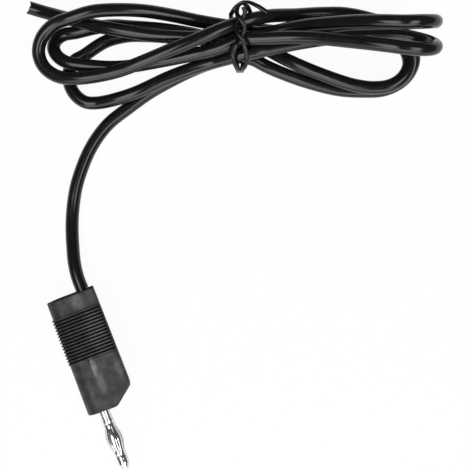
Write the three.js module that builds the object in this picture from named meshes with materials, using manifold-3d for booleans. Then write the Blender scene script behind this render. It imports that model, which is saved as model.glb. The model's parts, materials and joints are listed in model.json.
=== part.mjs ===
// Earthing lead for electrostatic work: a 4 mm stacking plug with a resistor in its housing,
// and about a metre of black cord folded into a hank that a twist tie holds at its waist.
// Millimetres, +Z up. The plug lies on its back with its pin along -Y, and the origin is under
// the middle of the plug, on the surface it lies on.
import * as THREE from "three";
import { mergeVertices } from "three/addons/utils/BufferGeometryUtils.js";
import Module from "manifold-3d";

const wasm = await Module();
wasm.setup();

// ---------------------------------------------------------------- driving dimensions

// Housing: a half round side about the pin axis, and a flat sided block beside it.
const housingLength = 36.4;
const roundRadius = 4.83; // half round side, at the pin end
const roundRadiusCordEnd = 4.55; // the mould's draft makes the cord end slimmer
const flankReach = 11.07; // pin axis to the flat flank at the front face, at the pin end
const flankReachCordEnd = 10.83;
const flankCorner = 0.3; // rounding of the flank's long edges
const flankLean = 1.1; // the flank leans in by this much from the front face to the back
const pinEndRound = 0.45;
const cordEndRound = 0.3;
const chamferAcross = 5.97; // corner cut off between the pin end and the flank
const chamferAlong = 4.75;
const endWall = 1.8;
const pinWall = 2.4;
const facePlate = 1.2; // ribs' crests to the cord's chamber, front and back

// Grip ribs round the housing.
const ribCount = 15;
const ribPitch = 1.0;
const ribCrest = 5.05; // pin axis to the crests, and to the land that the plug lies on
const ribFoot = 0.56;
const ribTop = 0.26;
const ribEndInset = 0.45; // from the flank to the end of each rib
const ribCorner = 0.2;
const ribRoot = 0.3; // rib's root inside the housing's wall
const firstRibFromEnd = 6.1;
const wedgeRun = 11.1; // raised face that fades out between the ribs and the pin end
const padOffset = 1.8; // pin axis to the near edge of the raised face
const faceSink = 1.0; // raised face's and land's root inside the housing
const landMargin = 1.0;
const landInset = 0.4; // from the flank's edge to the land

// Contact pin, its spring cage and its nose.
const pinRadius = 1.7;
const shankLength = 3.2; // from the housing to the cage
const cageCollar = 2.3;
const leafLength = 7.55;
const cageEndCollar = 2.8;
const noseLength = 1.55;
const tipLength = 1.4;
const tipRadius = 1.0;
const noseRadius = 1.73;
const noseShoulder = 0.2; // short cylinder that the nose keeps before its taper
const noseTaper = 0.1;
const cageRadius = 1.78;
const cageThickness = 0.3;
const leafBulge = 2.52; // pin axis to the widest point of the leaves
const leafBow = 1.2; // above 1, the leaves leave the collars more gently
const rodPlay = 0.12; // cage's bore to the rod that it turns on
const leafCount = 8;
const leafGap = 9; // degrees between two leaves
const runningGap = 0.08;
const spigotRadius = 0.75;
const spigotLength = 1.2;
const flangeRadius = 3.1;
const flangeThickness = 1.5;
const rearRadius = 2.4;
const rearLength = 6.2;

// Stacking socket behind the pin, in line with it.
const coreBore = 3.4; // housing's bore round the contact and the socket
const socketMouth = 2.7;
const socketRadius = 2.95;
const socketBore = 2.03;
const socketDepth = 19.5;
const stemRadius = 1.2;
const stemLength = 2.4;

// Cord, and what it ends in inside the housing.
const cordRadius = 2.0;
const cordOffset = 6.95; // pin axis to cord axis
const cordHoleGap = 0.15;
const chamberGap = 0.2;
const coreRadius = 0.6; // stranded conductor
const bareCore = 4.2;
const coreSeat = 1.0; // conductor held in the jacket and in the ferrule
const ferruleLength = 5.6;
const ferruleRadius = 1.05;
const wireSeat = 2.0; // resistor's wire held in the ferrule
const sleeveThickness = 0.25;
const sleeveOverlap = 0.7;
const resistorLength = 6.3;
const resistorRadius = 1.2;
const resistorWaist = 1.03;
const resistorCap = 1.3; // the metal cap under the lacquer at each end
const resistorRound = 0.35;
const wireRun = 2.4; // bare wire between the tab and the resistor
const wireRunToFerrule = 2.9;
const wireRadius = 0.3;
const tabThickness = 0.5;
const tabWidth = 2.6;
const tabMargin = 1.1; // tab beyond the resistor's wire
const clampLength = 4.0;
const clampFromEnd = 4.6;
const clampRise = 0.9; // cord axis to the clamp's feet

const seatGap = 0.1; // pieces that are assembled by hand in the housing
const touchGap = 0.3; // end faces of the cord's stretches
const cutOver = 1; // how far a cut runs past what it opens

// Hank and tie.
const tieAt = [75.065, 80.0]; // the waist's place on the table
const layTurn = 20.92; // degrees that the plug is turned against the hank
const tieRadius = 0.45;
const twistTurns = 1;
const twistHalfHeight = 0.75;
const twistHalfWidth = 1.2; // the twist is loose, with an open eye in its middle
const notchRadius = 2.6; // the cord's cut end is hollowed like a fish tail
const notchDepth = 0.8;
const tailCoreLength = 3.0;

// Facets.
const roundSides = 32;
const wireSides = 12;
const arcSteps = 14;
const cordSides = 10;
const cordStep = 9;
const hankSides = 6;
const tieSides = 6;
const turnSteps = 6;
const stepsPerTwist = 8;

// ---------------------------------------------------------------- derived places

const pinLength = shankLength + cageCollar + leafLength + cageEndCollar + noseLength + tipLength;
const plugMiddleX = (flankReach - ribCrest) / 2;
const plugMiddleY = (housingLength - pinLength) / 2;
const firstRib = housingLength - firstRibFromEnd;
const lastRib = firstRib - (ribCount - 1) * ribPitch;
const cageStart = -shankLength - runningGap;
const cageLength = cageCollar + leafLength + cageEndCollar;
const cageEnd = cageStart - cageLength;
const noseStart = cageEnd - runningGap;
const coreRodRadius = cageRadius - cageThickness - rodPlay;
const flangeStart = pinWall + seatGap;
const rearStart = flangeStart + flangeThickness;
const rearEnd = rearStart + rearLength;
const socketStart = rearEnd + seatGap;
const socketEnd = housingLength - endWall - seatGap;
const chamberLeft = cordOffset - cordRadius - chamberGap;
const chamberRight = cordOffset + cordRadius + chamberGap;
const chamberHeight = ribCrest - facePlate;
const tabStart = rearStart + seatGap;
const chamberStart = tabStart - seatGap;
const resistorStart = tabStart + tabThickness + wireRun;
const resistorEnd = resistorStart + resistorLength;
const ferruleStart = resistorEnd + wireRunToFerrule;
const ferruleEnd = ferruleStart + ferruleLength;
const jacketStart = ferruleEnd + bareCore - 2 * coreSeat;

// ---------------------------------------------------------------- route of the cord

// Places in the hank are [x, y, z] from the middle of the waist, x along the hank. They were
// picked by eye where the cord runs, and a turn is half an ellipse through three of them.
const freeLead = [
  [-50.2, -66.2, 4.6],
  [-50.8, -61.5, 3.6],
  [-51.2, -55.5, 2.6],
  [-51.0, -49.8, 2.1],
  [-50.0, -43.3, 2.1],
  [-48.1, -37.2, 2.1],
  [-46.0, -32.3, 2.1],
  [-43.2, -27.7, 2.1],
  [-39.8, -23.7, 2.1],
  [-34.2, -19.3, 2.1],
  [-27.5, -14.5, 2.1],
  [-18.2, -9.4, 2.1],
];
const leadJoint = { from: [-12.2, -6.7, 2.1], to: [-4.2, -4.1, 3.3] };
const waist = [
  [0, -3.9, 3.6],
  [0, 4.4, 13.8],
  [0, 5.2, 3.6],
  [0, 0.7, 3.6],
  [0, -4.7, 10.9],
  [0, -0.4, 13.5],
  [0, -1.6, 7.6],
  [0, 2.9, 9.2],
];
const bights = [
  {
    out: [[4, -4.6, 3.3], [8, -6.5, 2.4], [13, -8.6, 2.1], [21, -11.4, 2.1], [30, -13.6, 2.1]],
    turn: [[37, -14.1, 2.2], [53, -5.1, 2.4], [40, 7.5, 3.9]],
    back: [[32, 9.1, 4.2], [24, 9, 4.9], [17, 8.2, 6.7], [9, 7, 10.8], [3.6, 5.5, 13.2]],
  },
  {
    out: [[-4, 2.7, 15.2], [-9, 0.5, 16], [-18, -3.1, 15.8], [-29, -7.3, 13.7], [-36, -9.5, 11.7],
      [-42.5, -10.7, 10.2]],
    turn: [[-49, -11.2, 8.9], [-60.5, -3.3, 7.2], [-49.8, 6.4, 11.2]],
    back: [[-44, 8, 11.8], [-38, 8.7, 11.1], [-29, 8.9, 9.1], [-20, 8.1, 6.1], [-13, 7, 4.2],
      [-4, 5.6, 3.6]],
  },
  {
    out: [[4, 4.8, 3.4], [8, 4.3, 2.7], [14, 3.9, 2.2], [22, 3.6, 2.1], [29, 3.5, 2.3],
      [36, 3.1, 3.6]],
    turn: [[42, 2.2, 5.1], [50.8, -6.6, 6.9], [40.3, -13.7, 6.9]],
    back: [[34, -12.8, 6.5], [24, -9.4, 6.1], [17, -6.4, 5.6], [13, -4.2, 4], [8, -1.3, 2.4],
      [4, 0.2, 3.2]],
  },
  {
    out: [[-4, 1, 3.3], [-8.5, 1.6, 2.2], [-15, 2, 2.1], [-22, 2.5, 2.1], [-28, 2.9, 2.1],
      [-34.5, 2.8, 2.1], [-41, 1.1, 2.1]],
    turn: [[-47.7, -3.2, 2.2], [-52, -11.9, 2.2], [-43.6, -17.8, 3.2]],
    back: [[-37, -16.8, 5.3], [-31, -15, 6.5], [-21, -10.4, 6.6], [-12, -7.2, 6.9],
      [-8, -6.2, 7.6], [-3.6, -5.4, 9.5]],
  },
  {
    out: [[4, -3.9, 11.4], [8, -3.1, 11.1], [18, -1, 10.9], [31, 0.6, 11.9], [38.5, 0.7, 12.9]],
    turn: [[47, 0.5, 14.1], [56, -3.9, 20.9], [46, -5.5, 27.1]],
    back: [[41, -4.7, 26.4], [32, -3, 23.1], [22, -1.2, 19], [14, -0.5, 16.4], [7, -0.5, 15],
      [3.6, -0.5, 14.4]],
  },
  {
    out: [[-3.6, -1.9, 12.9], [-8, -3.3, 11.9], [-13.5, -4.3, 10.3], [-24, -6, 8.4],
      [-33.5, -7.4, 7.3], [-40, -7.6, 7]],
    turn: [[-48.3, -6.8, 6.8], [-56.5, -1.4, 4.4], [-50.2, 3.8, 2.2]],
    back: [[-44.5, 5, 3], [-39, 5.2, 5.3], [-33, 4.7, 6.3], [-22, 3.7, 6.5], [-11, 1.6, 6.6],
      [-7.5, -0.1, 6.8], [-4, -1.2, 7.4]],
  },
  {
    out: [[3.8, -1.7, 7.4], [8, -1, 7.1], [13, 0, 6.9], [21, 1.5, 6.5], [29, 3.1, 6.9],
      [35.5, 4.3, 8.1], [41.5, 4.8, 9.9]],
    turn: [[47.4, 4.8, 11.3], [56.2, 3.4, 19.9], [46, 1.7, 27.2]],
    back: [[39.5, 2.2, 25.5], [33, 2.9, 21.9], [27, 3.2, 18.5], [20, 3.3, 15], [14, 2.8, 12.4],
      [10, 2.2, 11.1], [6.6, 2, 10.2], [3.5, 2.4, 9.4]],
  },
];
const tailJoint = { from: [-5.2, 1.9, 10.9], to: [-13.4, 0.5, 11.6] };
const freeTail = [
  [-20, 0.8, 11.2],
  [-27, 1.4, 10.8],
  [-37, 3.1, 10.1],
  [-43, 4.5, 8.6],
  [-50, 6.8, 5.8],
  [-56.5, 9, 3.2],
  [-60.6, 10.3, 2.2],
  [-64.5, 11.5, 2.1],
];

// The tie's wire: round the back of the waist, over its left, twisted, and round its right.
const tieLoop = [
  [8.1, 7.2, 14.2],
  [4.6, 9.4, 14.1],
  [1.6, 10.7, 13],
  [-0.8, 9.8, 11.6],
  [-2.5, 8, 10],
  [-2.7, 8.2, 6.4],
  [-2.7, 8.4, 3.4],
  [-2.8, 7.5, 1.3],
  [-2.7, 5.2, 0.5],
  [-2.2, 1, 0.45],
  [-1.4, -3.4, 0.45],
  [-0.9, -6.6, 1.2],
  [-0.8, -8.2, 3.4],
  [-0.7, -8.8, 6.4],
  [-0.7, -8.8, 9.3],
  [-1.2, -8.1, 11.5],
  [-1.9, -6.8, 13.3],
  [-2.1, -4.9, 15.2],
];
const tieArch = [
  [-0.6, 8.5, 16.9],
  [0.7, 9.6, 15.6],
  [2, 9.1, 14.4],
  [2.8, 8.1, 12.8],
  [3.1, 7.6, 10],
  [3.1, 7.9, 6.4],
  [3, 8, 3.6],
  [2.9, 7.2, 1.3],
  [2.7, 5, 0.5],
  [2.2, 1, 0.45],
  [1.4, -3.6, 0.45],
  [0.9, -6.7, 1.3],
  [0.8, -8.2, 3.6],
  [0.7, -8.8, 6.6],
  [0.7, -8.8, 9.3],
  [1.4, -8.2, 11.5],
  [1.9, -6.6, 13.5],
  [1.8, -4.9, 15.2],
];
const tieEnd = [[0.9, 8, 18.1]];
const twist = { from: [0, -2.9, 17.1], to: [0.2, 6.6, 17.7] };

// ---------------------------------------------------------------- shared helpers

const vector = (point) => new THREE.Vector3(...point);
const upward = new THREE.Vector3(0, 0, 1);

/** Place in the plug's frame of a point that is given from the waist of the hank. */
function fromWaist(point) {
  const turnedPoint = vector(point).applyAxisAngle(upward, -layTurn * THREE.MathUtils.DEG2RAD);
  return turnedPoint.add(new THREE.Vector3(tieAt[0], tieAt[1], 0));
}

function toSolid(geometry) {
  const bare = geometry.clone();
  bare.deleteAttribute("normal");
  bare.deleteAttribute("uv");
  const merged = mergeVertices(bare, 1e-5);
  return new wasm.Manifold(
    new wasm.Mesh({
      numProp: 3,
      vertProperties: new Float32Array(merged.attributes.position.array),
      triVerts: new Uint32Array(merged.index.array),
    }),
  );
}

function fromSolid(solid) {
  const mesh = solid.getMesh();
  const geometry = new THREE.BufferGeometry();
  geometry.setAttribute("position", new THREE.BufferAttribute(new Float32Array(mesh.vertProperties), 3));
  geometry.setIndex(new THREE.BufferAttribute(new Uint32Array(mesh.triVerts), 1));
  geometry.computeVertexNormals();
  return geometry;
}

const cut = (geometry, ...tools) =>
  fromSolid(tools.reduce((solid, tool) => solid.subtract(toSolid(tool)), toSolid(geometry)));

const join = (...geometries) =>
  fromSolid(geometries.slice(1).reduce((solid, next) => solid.add(toSolid(next)), toSolid(geometries[0])));

/** Turned piece about an axis along Y, from [radius, y] corners in the order of rising y. */
function turned(corners, sides = roundSides, x = 0) {
  const profile = corners.map(([radius, y]) => new THREE.Vector2(radius, y));
  return new THREE.LatheGeometry(profile, sides).translate(x, 0, 0);
}

/** Round bar along Y from one y to another. */
function bar(radius, from, to, x = 0, sides = roundSides) {
  const low = Math.min(from, to);
  const high = Math.max(from, to);
  return turned([[0, low], [radius, low], [radius, high], [0, high]], sides, x);
}

/** Box between two corners. */
function block(low, high) {
  const size = high.map((value, axis) => value - low[axis]);
  const middle = high.map((value, axis) => (value + low[axis]) / 2);
  return new THREE.BoxGeometry(...size).translate(...middle);
}

/** Closed body through sections [y, [[x, z], ...]] that have the same number of corners. */
function loft(sections) {
  const sides = sections[0][1].length;
  const corners = sections.flatMap(([y, outline]) => outline.flatMap(([x, z]) => [x, y, z]));
  const faces = [];
  for (let ring = 0; ring + 1 < sections.length; ring += 1) {
    for (let side = 0; side < sides; side += 1) {
      const a = ring * sides + side;
      const b = ring * sides + ((side + 1) % sides);
      faces.push(a, b, a + sides, b, b + sides, a + sides);
    }
  }
  const flat = sections[0][1].map(([x, z]) => new THREE.Vector2(x, z));
  const last = (sections.length - 1) * sides;
  for (const [a, b, c] of THREE.ShapeUtils.triangulateShape(flat, [])) {
    faces.push(a, b, c, last + a, last + c, last + b);
  }
  const geometry = new THREE.BufferGeometry();
  geometry.setAttribute("position", new THREE.Float32BufferAttribute(corners, 3));
  geometry.setIndex(faces);
  return geometry;
}

// ---------------------------------------------------------------- housing

/** D shaped outline about the pin axis: half round on the left, flat on the right. */
function housingOutline(radius, reach, corner) {
  const outline = [];
  for (let step = 0; step <= arcSteps; step += 1) {
    const angle = -Math.PI / 2 - (Math.PI * step) / arcSteps;
    outline.push([radius * Math.cos(angle), radius * Math.sin(angle)]);
  }
  const span = radius - corner;
  const diagonal = corner * Math.SQRT1_2;
  const front = reach - corner;
  const rear = front - flankLean;
  outline.push([front, radius], [front + diagonal, span + diagonal], [reach, span]);
  outline.push([rear + corner, -span], [rear + diagonal, -span - diagonal], [rear, -radius]);
  return outline;
}

/** Share of the housing's length, from the pin end, turned into a drafted size. */
const drafted = (atPin, atCord, y) => THREE.MathUtils.lerp(atPin, atCord, y / housingLength);

function housingBody() {
  const section = (y, inset) => [
    y,
    housingOutline(
      drafted(roundRadius, roundRadiusCordEnd, y) - inset,
      drafted(flankReach, flankReachCordEnd, y) - inset,
      flankCorner,
    ),
  ];
  const arc = [0, Math.PI / 4, Math.PI / 2].map((angle) => [1 - Math.cos(angle), 1 - Math.sin(angle)]);
  const pinEnd = arc.map(([along, inset]) => section(pinEndRound * along, pinEndRound * inset));
  const cordEnd = arc.map(([along, inset]) => {
    return section(housingLength - cordEndRound * along, cordEndRound * inset);
  });
  return loft([...pinEnd, ...cordEnd.reverse()]);
}

function rib(y) {
  const reach = flankReachCordEnd - ribEndInset;
  const root = housingOutline(roundRadiusCordEnd - ribRoot, reach, ribCorner);
  const crest = housingOutline(ribCrest, reach, ribCorner);
  const flare = ((ribFoot - ribTop) / 2) * (ribRoot / (ribCrest - roundRadiusCordEnd));
  return loft([
    [y - ribFoot / 2 - flare, root],
    [y - ribTop / 2, crest],
    [y + ribTop / 2, crest],
    [y + ribFoot / 2 + flare, root],
  ]);
}

/** Raised face on the front that starts level with the ribs and fades into the housing. */
function wedge() {
  const start = lastRib - ribPitch / 2;
  const reach = flankReachCordEnd - ribEndInset;
  const face = (y, top) => [
    y,
    [[padOffset, top], [reach, top], [reach, top - faceSink], [padOffset, top - faceSink]],
  ];
  const level = drafted(roundRadius, roundRadiusCordEnd, start);
  return loft([face(start - wedgeRun, level), face(start, ribCrest)]);
}

function restingLand() {
  const reach = flankReachCordEnd - flankLean - flankCorner - landInset;
  return block(
    [padOffset, landMargin + chamferAlong, -ribCrest],
    [reach, housingLength - landMargin, -ribCrest + faceSink],
  );
}

/** Prism that takes the corner between the pin end and the flank off. */
function cornerCut() {
  const slope = chamferAlong / chamferAcross;
  const shape = new THREE.Shape([
    new THREE.Vector2(flankReach - chamferAcross - cutOver, -slope * cutOver),
    new THREE.Vector2(flankReach + cutOver, chamferAlong + slope * cutOver),
    new THREE.Vector2(flankReach + cutOver, -slope * cutOver),
  ]);
  const depth = 4 * ribCrest;
  return new THREE.ExtrudeGeometry(shape, { depth, bevelEnabled: false }).translate(0, 0, -depth / 2);
}

function housingHollows() {
  const core = bar(coreBore, pinWall, housingLength - endWall);
  const pinHole = bar(pinRadius + runningGap, -cutOver, pinWall + cutOver);
  const mouth = bar(socketMouth, housingLength - endWall - cutOver, housingLength + cutOver);
  const chamber = block(
    [chamberLeft, chamberStart, -chamberHeight],
    [chamberRight, housingLength - endWall, chamberHeight],
  );
  const cordHole = bar(
    cordRadius + cordHoleGap,
    housingLength - endWall - cutOver,
    housingLength + cutOver,
    cordOffset,
  );
  const tabSlot = block(
    [0, chamberStart, -tabWidth / 2 - seatGap],
    [chamberLeft + cutOver, tabStart + tabThickness + seatGap, tabWidth / 2 + seatGap],
  );
  return [core, pinHole, mouth, chamber, cordHole, tabSlot];
}

function housing() {
  const ribs = Array.from({ length: ribCount }, (_, index) => rib(firstRib - index * ribPitch));
  const whole = join(housingBody(), ...ribs, wedge(), restingLand());
  return cut(whole, cornerCut(), ...housingHollows());
}

/** One half of the housing, parted through the pin and cord axes. */
function shell(whole, side) {
  const far = 100;
  const low = side > 0 ? 0 : -far;
  const half = block([-far, -far, low], [far, far, low + far]);
  const solid = toSolid(whole).intersect(toSolid(half));
  return fromSolid(solid);
}

// ---------------------------------------------------------------- contact, socket and cord end

function contactPin() {
  return turned([
    [0, noseStart - spigotLength],
    [spigotRadius, noseStart - spigotLength],
    [spigotRadius, noseStart],
    [coreRodRadius, noseStart],
    [coreRodRadius, -shankLength],
    [pinRadius, -shankLength],
    [pinRadius, flangeStart],
    [flangeRadius, flangeStart],
    [flangeRadius, rearStart],
    [rearRadius, rearStart],
    [rearRadius, rearEnd],
    [stemRadius, rearEnd],
    [stemRadius, rearEnd + stemLength],
    [0, rearEnd + stemLength],
  ]);
}

/** Sleeve of sprung leaves between two collars. It is free to turn on the pin's rod. */
function lamellaCage() {
  const leafSteps = 8;
  const outer = [];
  for (let step = 0; step <= leafSteps; step += 1) {
    const share = step / leafSteps;
    const rise = (leafBulge - cageRadius) * Math.sin(Math.PI * share) ** leafBow;
    outer.push([cageRadius + rise, cageStart - cageCollar - leafLength * share]);
  }
  const wall = (corners, inset) => corners.map(([radius, y]) => [radius - inset, y]);
  const outside = [[cageRadius, cageStart], ...outer, [cageRadius, cageEnd]];
  const profile = [...wall(outside, 0), ...wall(outside, cageThickness).reverse(), [cageRadius, cageStart]];
  const barrel = turned(profile.reverse());
  const slotWidth = 2 * leafBulge * Math.sin((leafGap / 2) * THREE.MathUtils.DEG2RAD);
  const slots = Array.from({ length: leafCount / 2 }, (_, index) => {
    const slot = block(
      [-slotWidth / 2, cageStart - cageCollar - leafLength, -2 * leafBulge],
      [slotWidth / 2, cageStart - cageCollar, 2 * leafBulge],
    );
    return slot.rotateY((2 * Math.PI * (index + 0.5)) / leafCount);
  });
  return cut(barrel, ...slots);
}

function pinNose() {
  const nose = turned([
    [0, noseStart - noseLength - tipLength],
    [tipRadius, noseStart - noseLength - tipLength],
    [noseRadius - noseTaper, noseStart - noseLength],
    [noseRadius, noseStart - noseLength + noseShoulder],
    [noseRadius, noseStart],
    [0, noseStart],
  ]);
  const boreStop = noseStart - spigotLength - runningGap;
  return cut(nose, bar(spigotRadius + runningGap, boreStop, noseStart + cutOver));
}

function socketSleeve() {
  const sleeve = bar(socketRadius, socketStart, socketEnd);
  const bore = bar(socketBore, socketEnd - socketDepth, socketEnd + cutOver);
  const stemHole = bar(stemRadius + runningGap, socketStart - cutOver, rearEnd + stemLength + seatGap);
  return cut(sleeve, bore, stemHole);
}

/** Tag round the contact's rear, with an arm that takes the resistor's wire. */
function solderTab() {
  const ring = bar(flangeRadius, tabStart, tabStart + tabThickness);
  const arm = block(
    [rearRadius, tabStart, -tabWidth / 2],
    [cordOffset + tabMargin, tabStart + tabThickness, tabWidth / 2],
  );
  const through = [tabStart - cutOver, tabStart + cutOver];
  const hole = bar(rearRadius + runningGap, ...through);
  const wireHole = bar(wireRadius + runningGap, ...through, cordOffset, wireSides);
  return cut(join(ring, arm), hole, wireHole);
}

/** Dog bone body of a small film resistor. */
function resistorBody() {
  const end = resistorRadius - resistorRound;
  return turned(
    [
      [0, resistorStart],
      [end, resistorStart],
      [resistorRadius, resistorStart + resistorRound],
      [resistorRadius, resistorStart + resistorCap],
      [resistorWaist, resistorStart + resistorCap + resistorRound],
      [resistorWaist, resistorEnd - resistorCap - resistorRound],
      [resistorRadius, resistorEnd - resistorCap],
      [resistorRadius, resistorEnd - resistorRound],
      [end, resistorEnd],
      [0, resistorEnd],
    ],
    roundSides,
    cordOffset,
  );
}

function crimpFerrule() {
  const tube = bar(ferruleRadius, ferruleStart, ferruleEnd, cordOffset, roundSides);
  const wireStop = ferruleStart + wireSeat + seatGap;
  const coreStop = ferruleEnd - coreSeat - seatGap;
  const wireEnd = bar(wireRadius + runningGap, ferruleStart - cutOver, wireStop, cordOffset, wireSides);
  const coreEnd = bar(coreRadius + runningGap, coreStop, ferruleEnd + cutOver, cordOffset, wireSides);
  return cut(tube, wireEnd, coreEnd);
}

function shrinkSleeve() {
  const inner = ferruleRadius + runningGap;
  const start = ferruleStart - sleeveOverlap;
  const end = ferruleEnd + sleeveOverlap;
  return cut(
    bar(inner + sleeveThickness, start, end, cordOffset),
    bar(inner, start - cutOver, end + cutOver, cordOffset),
  );
}

function jacketStub() {
  const jacket = bar(cordRadius, jacketStart, housingLength, cordOffset);
  const coreStop = jacketStart + coreSeat + seatGap;
  return cut(jacket, bar(coreRadius + runningGap, jacketStart - cutOver, coreStop, cordOffset));
}

/** Bar that the front half presses onto the cord's jacket. */
function cordClamp() {
  const end = housingLength - clampFromEnd;
  const clamp = block(
    [chamberLeft + seatGap, end - clampLength, clampRise],
    [chamberRight - seatGap, end, chamberHeight - seatGap],
  );
  return cut(clamp, bar(cordRadius + runningGap, end - clampLength - cutOver, end + cutOver, cordOffset));
}

// ---------------------------------------------------------------- cord and tie

/** Half an ellipse that starts and ends at two points and passes through a third. */
function halfTurn([start, tip, end]) {
  const middle = vector(start).add(vector(end)).multiplyScalar(0.5);
  const along = vector(end).sub(middle);
  const across = vector(tip).sub(middle);
  return Array.from({ length: turnSteps + 1 }, (_, step) => {
    const angle = (Math.PI * step) / turnSteps;
    const point = middle.clone().addScaledVector(along, -Math.cos(angle));
    return point.addScaledVector(across, Math.sin(angle));
  });
}

const between = (joint, share) => vector(joint.from).lerp(vector(joint.to), share);

/** Point on a joint's line that is half of the touching gap short of its middle. */
function jointFace(joint, side) {
  const span = vector(joint.from).distanceTo(vector(joint.to));
  return between(joint, 0.5 + (side * touchGap) / 2 / span);
}

/** The hank's centreline, from the lead's joint through seven bights to the tail's joint. */
function hankRoute() {
  const route = [jointFace(leadJoint, 1), vector(leadJoint.to)];
  bights.forEach((bight, index) => {
    route.push(vector(waist[index]), ...bight.out.map(vector));
    route.push(...halfTurn(bight.turn), ...bight.back.map(vector));
  });
  route.push(vector(waist[bights.length]), vector(tailJoint.from), jointFace(tailJoint, -1));
  return route;
}

/** Closed tube of few sides, with a ring at each point of its route. */
function woundTube(route, radius, sides) {
  const ahead = (index) => {
    const next = route[Math.min(index + 1, route.length - 1)];
    const last = route[Math.max(index - 1, 0)];
    return next.clone().sub(last).normalize();
  };
  const corners = [];
  const faces = [];
  let normal = upward.clone().projectOnPlane(ahead(0)).normalize();
  route.forEach((point, index) => {
    const tangent = ahead(index);
    normal = normal.projectOnPlane(tangent).normalize();
    const side = tangent.clone().cross(normal);
    for (let corner = 0; corner < sides; corner += 1) {
      const angle = (2 * Math.PI * corner) / sides;
      const offset = normal.clone().multiplyScalar(radius * Math.cos(angle));
      offset.addScaledVector(side, radius * Math.sin(angle));
      corners.push(...offset.add(point).toArray());
      if (index > 0) {
        const a = (index - 1) * sides + corner;
        const b = (index - 1) * sides + ((corner + 1) % sides);
        faces.push(a, b, a + sides, b, b + sides, a + sides);
      }
    }
  });
  const last = (route.length - 1) * sides;
  for (let corner = 1; corner + 1 < sides; corner += 1) {
    faces.push(0, corner + 1, corner, last, last + corner, last + corner + 1);
  }
  const geometry = new THREE.BufferGeometry();
  geometry.setAttribute("position", new THREE.Float32BufferAttribute(corners, 3));
  geometry.setIndex(faces);
  geometry.computeVertexNormals();
  return geometry;
}

/** Free stretch of the cord: a round section drawn along a curve through its points. */
function freeTube(points, radius, sides, step) {
  const path = new THREE.CatmullRomCurve3(points, false, "centripetal");
  const section = new THREE.Shape();
  for (let side = 0; side < sides; side += 1) {
    const angle = (2 * Math.PI * (side + 0.5)) / sides;
    section[side === 0 ? "moveTo" : "lineTo"](radius * Math.cos(angle), radius * Math.sin(angle));
  }
  const steps = Math.round(path.getLength() / step);
  return new THREE.ExtrudeGeometry(section, { steps, extrudePath: path, bevelEnabled: false });
}

function leadPoints() {
  const exit = new THREE.Vector3(cordOffset - plugMiddleX, housingLength - plugMiddleY, ribCrest);
  const start = exit.clone().add(new THREE.Vector3(0, touchGap, 0));
  const straight = start.clone().add(new THREE.Vector3(0, 2 * cordRadius, 0));
  const laid = freeLead.map(fromWaist);
  return [start, straight, ...laid, fromWaist(leadJoint.from), fromWaist(jointFace(leadJoint, -1))];
}

/** The tail's last two points, in the plug's frame, give the direction of its cut end. */
function tailPoints() {
  const start = [jointFace(tailJoint, 1), vector(tailJoint.to)];
  return [...start, ...freeTail.map(vector)].map(fromWaist);
}

/** Upright cylinder that hollows the cut end, and the bore that the conductor lies in. */
function cutTail() {
  const points = tailPoints();
  const end = points.at(-1);
  const outward = end.clone().sub(points.at(-2)).normalize();
  const heading = new THREE.Quaternion().setFromUnitVectors(new THREE.Vector3(0, 1, 0), outward);
  const notchAt = end.clone().addScaledVector(outward, notchRadius - notchDepth);
  const notch = new THREE.CylinderGeometry(notchRadius, notchRadius, 6 * cordRadius, roundSides);
  notch.rotateX(Math.PI / 2).translate(...notchAt.toArray());
  const coreStart = -tailCoreLength - notchDepth;
  const bore = bar(coreRadius + runningGap, coreStart - runningGap, cutOver, 0, wireSides);
  bore.applyQuaternion(heading).translate(...end.toArray());
  const core = bar(coreRadius, coreStart, -notchDepth, 0, wireSides);
  core.applyQuaternion(heading).translate(...end.toArray());
  const tube = freeTube(points, cordRadius, cordSides, cordStep);
  return { tail: cut(tube, notch, bore), core };
}

/** One wire of the twisted pair, which starts on the given side of the twist's axis. */
function twistStrand(startAngle) {
  const steps = twistTurns * stepsPerTwist;
  return Array.from({ length: steps + 1 }, (_, step) => {
    const share = step / steps;
    const angle = startAngle + 2 * Math.PI * twistTurns * share;
    const point = between(twist, share);
    point.x += twistHalfWidth * Math.cos(angle);
    point.z += twistHalfHeight * Math.sin(angle);
    return point;
  });
}

function tieRoute() {
  const laid = [
    ...tieLoop.map(vector),
    ...twistStrand(Math.PI),
    ...tieArch.map(vector),
    ...twistStrand(0),
    ...tieEnd.map(vector),
  ];
  return laid.map(fromWaist);
}

/** Least distance between the surfaces of a wound tube where it passes itself. */
function leastGap(route, radius) {
  const radiiApart = 7;
  const path = new THREE.CatmullRomCurve3(route, false, "centripetal");
  const samples = path.getSpacedPoints(Math.round(path.getLength()));
  const apart = Math.ceil(radiiApart * radius);
  let least = Infinity;
  for (let a = 0; a < samples.length; a += 1) {
    for (let b = a + apart; b < samples.length; b += 1) {
      least = Math.min(least, samples[a].distanceTo(samples[b]));
    }
  }
  return { gap: least - 2 * radius, length: path.getLength() };
}

// ---------------------------------------------------------------- assembly

const finishes = {
  shell: { color: 0x5a5b5d, roughness: 0.62, metalness: 0 },
  nickel: { color: 0xd6d3cc, roughness: 0.22, metalness: 1 },
  brass: { color: 0xc9a455, roughness: 0.35, metalness: 1 },
  tin: { color: 0xb9bcbe, roughness: 0.4, metalness: 1 },
  copper: { color: 0xb86b42, roughness: 0.4, metalness: 1 },
  resistor: { color: 0x8fb2c9, roughness: 0.5, metalness: 0 },
  sleeve: { color: 0x1c1c1d, roughness: 0.6, metalness: 0 },
  cord: { color: 0x19191a, roughness: 0.3, metalness: 0 },
  clamp: { color: 0x3c3d3f, roughness: 0.6, metalness: 0 },
  tie: { color: 0x202021, roughness: 0.45, metalness: 0 },
};

function piece(name, geometry, finish) {
  const mesh = new THREE.Mesh(geometry, new THREE.MeshStandardMaterial(finishes[finish]));
  mesh.name = name;
  return mesh;
}

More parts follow.
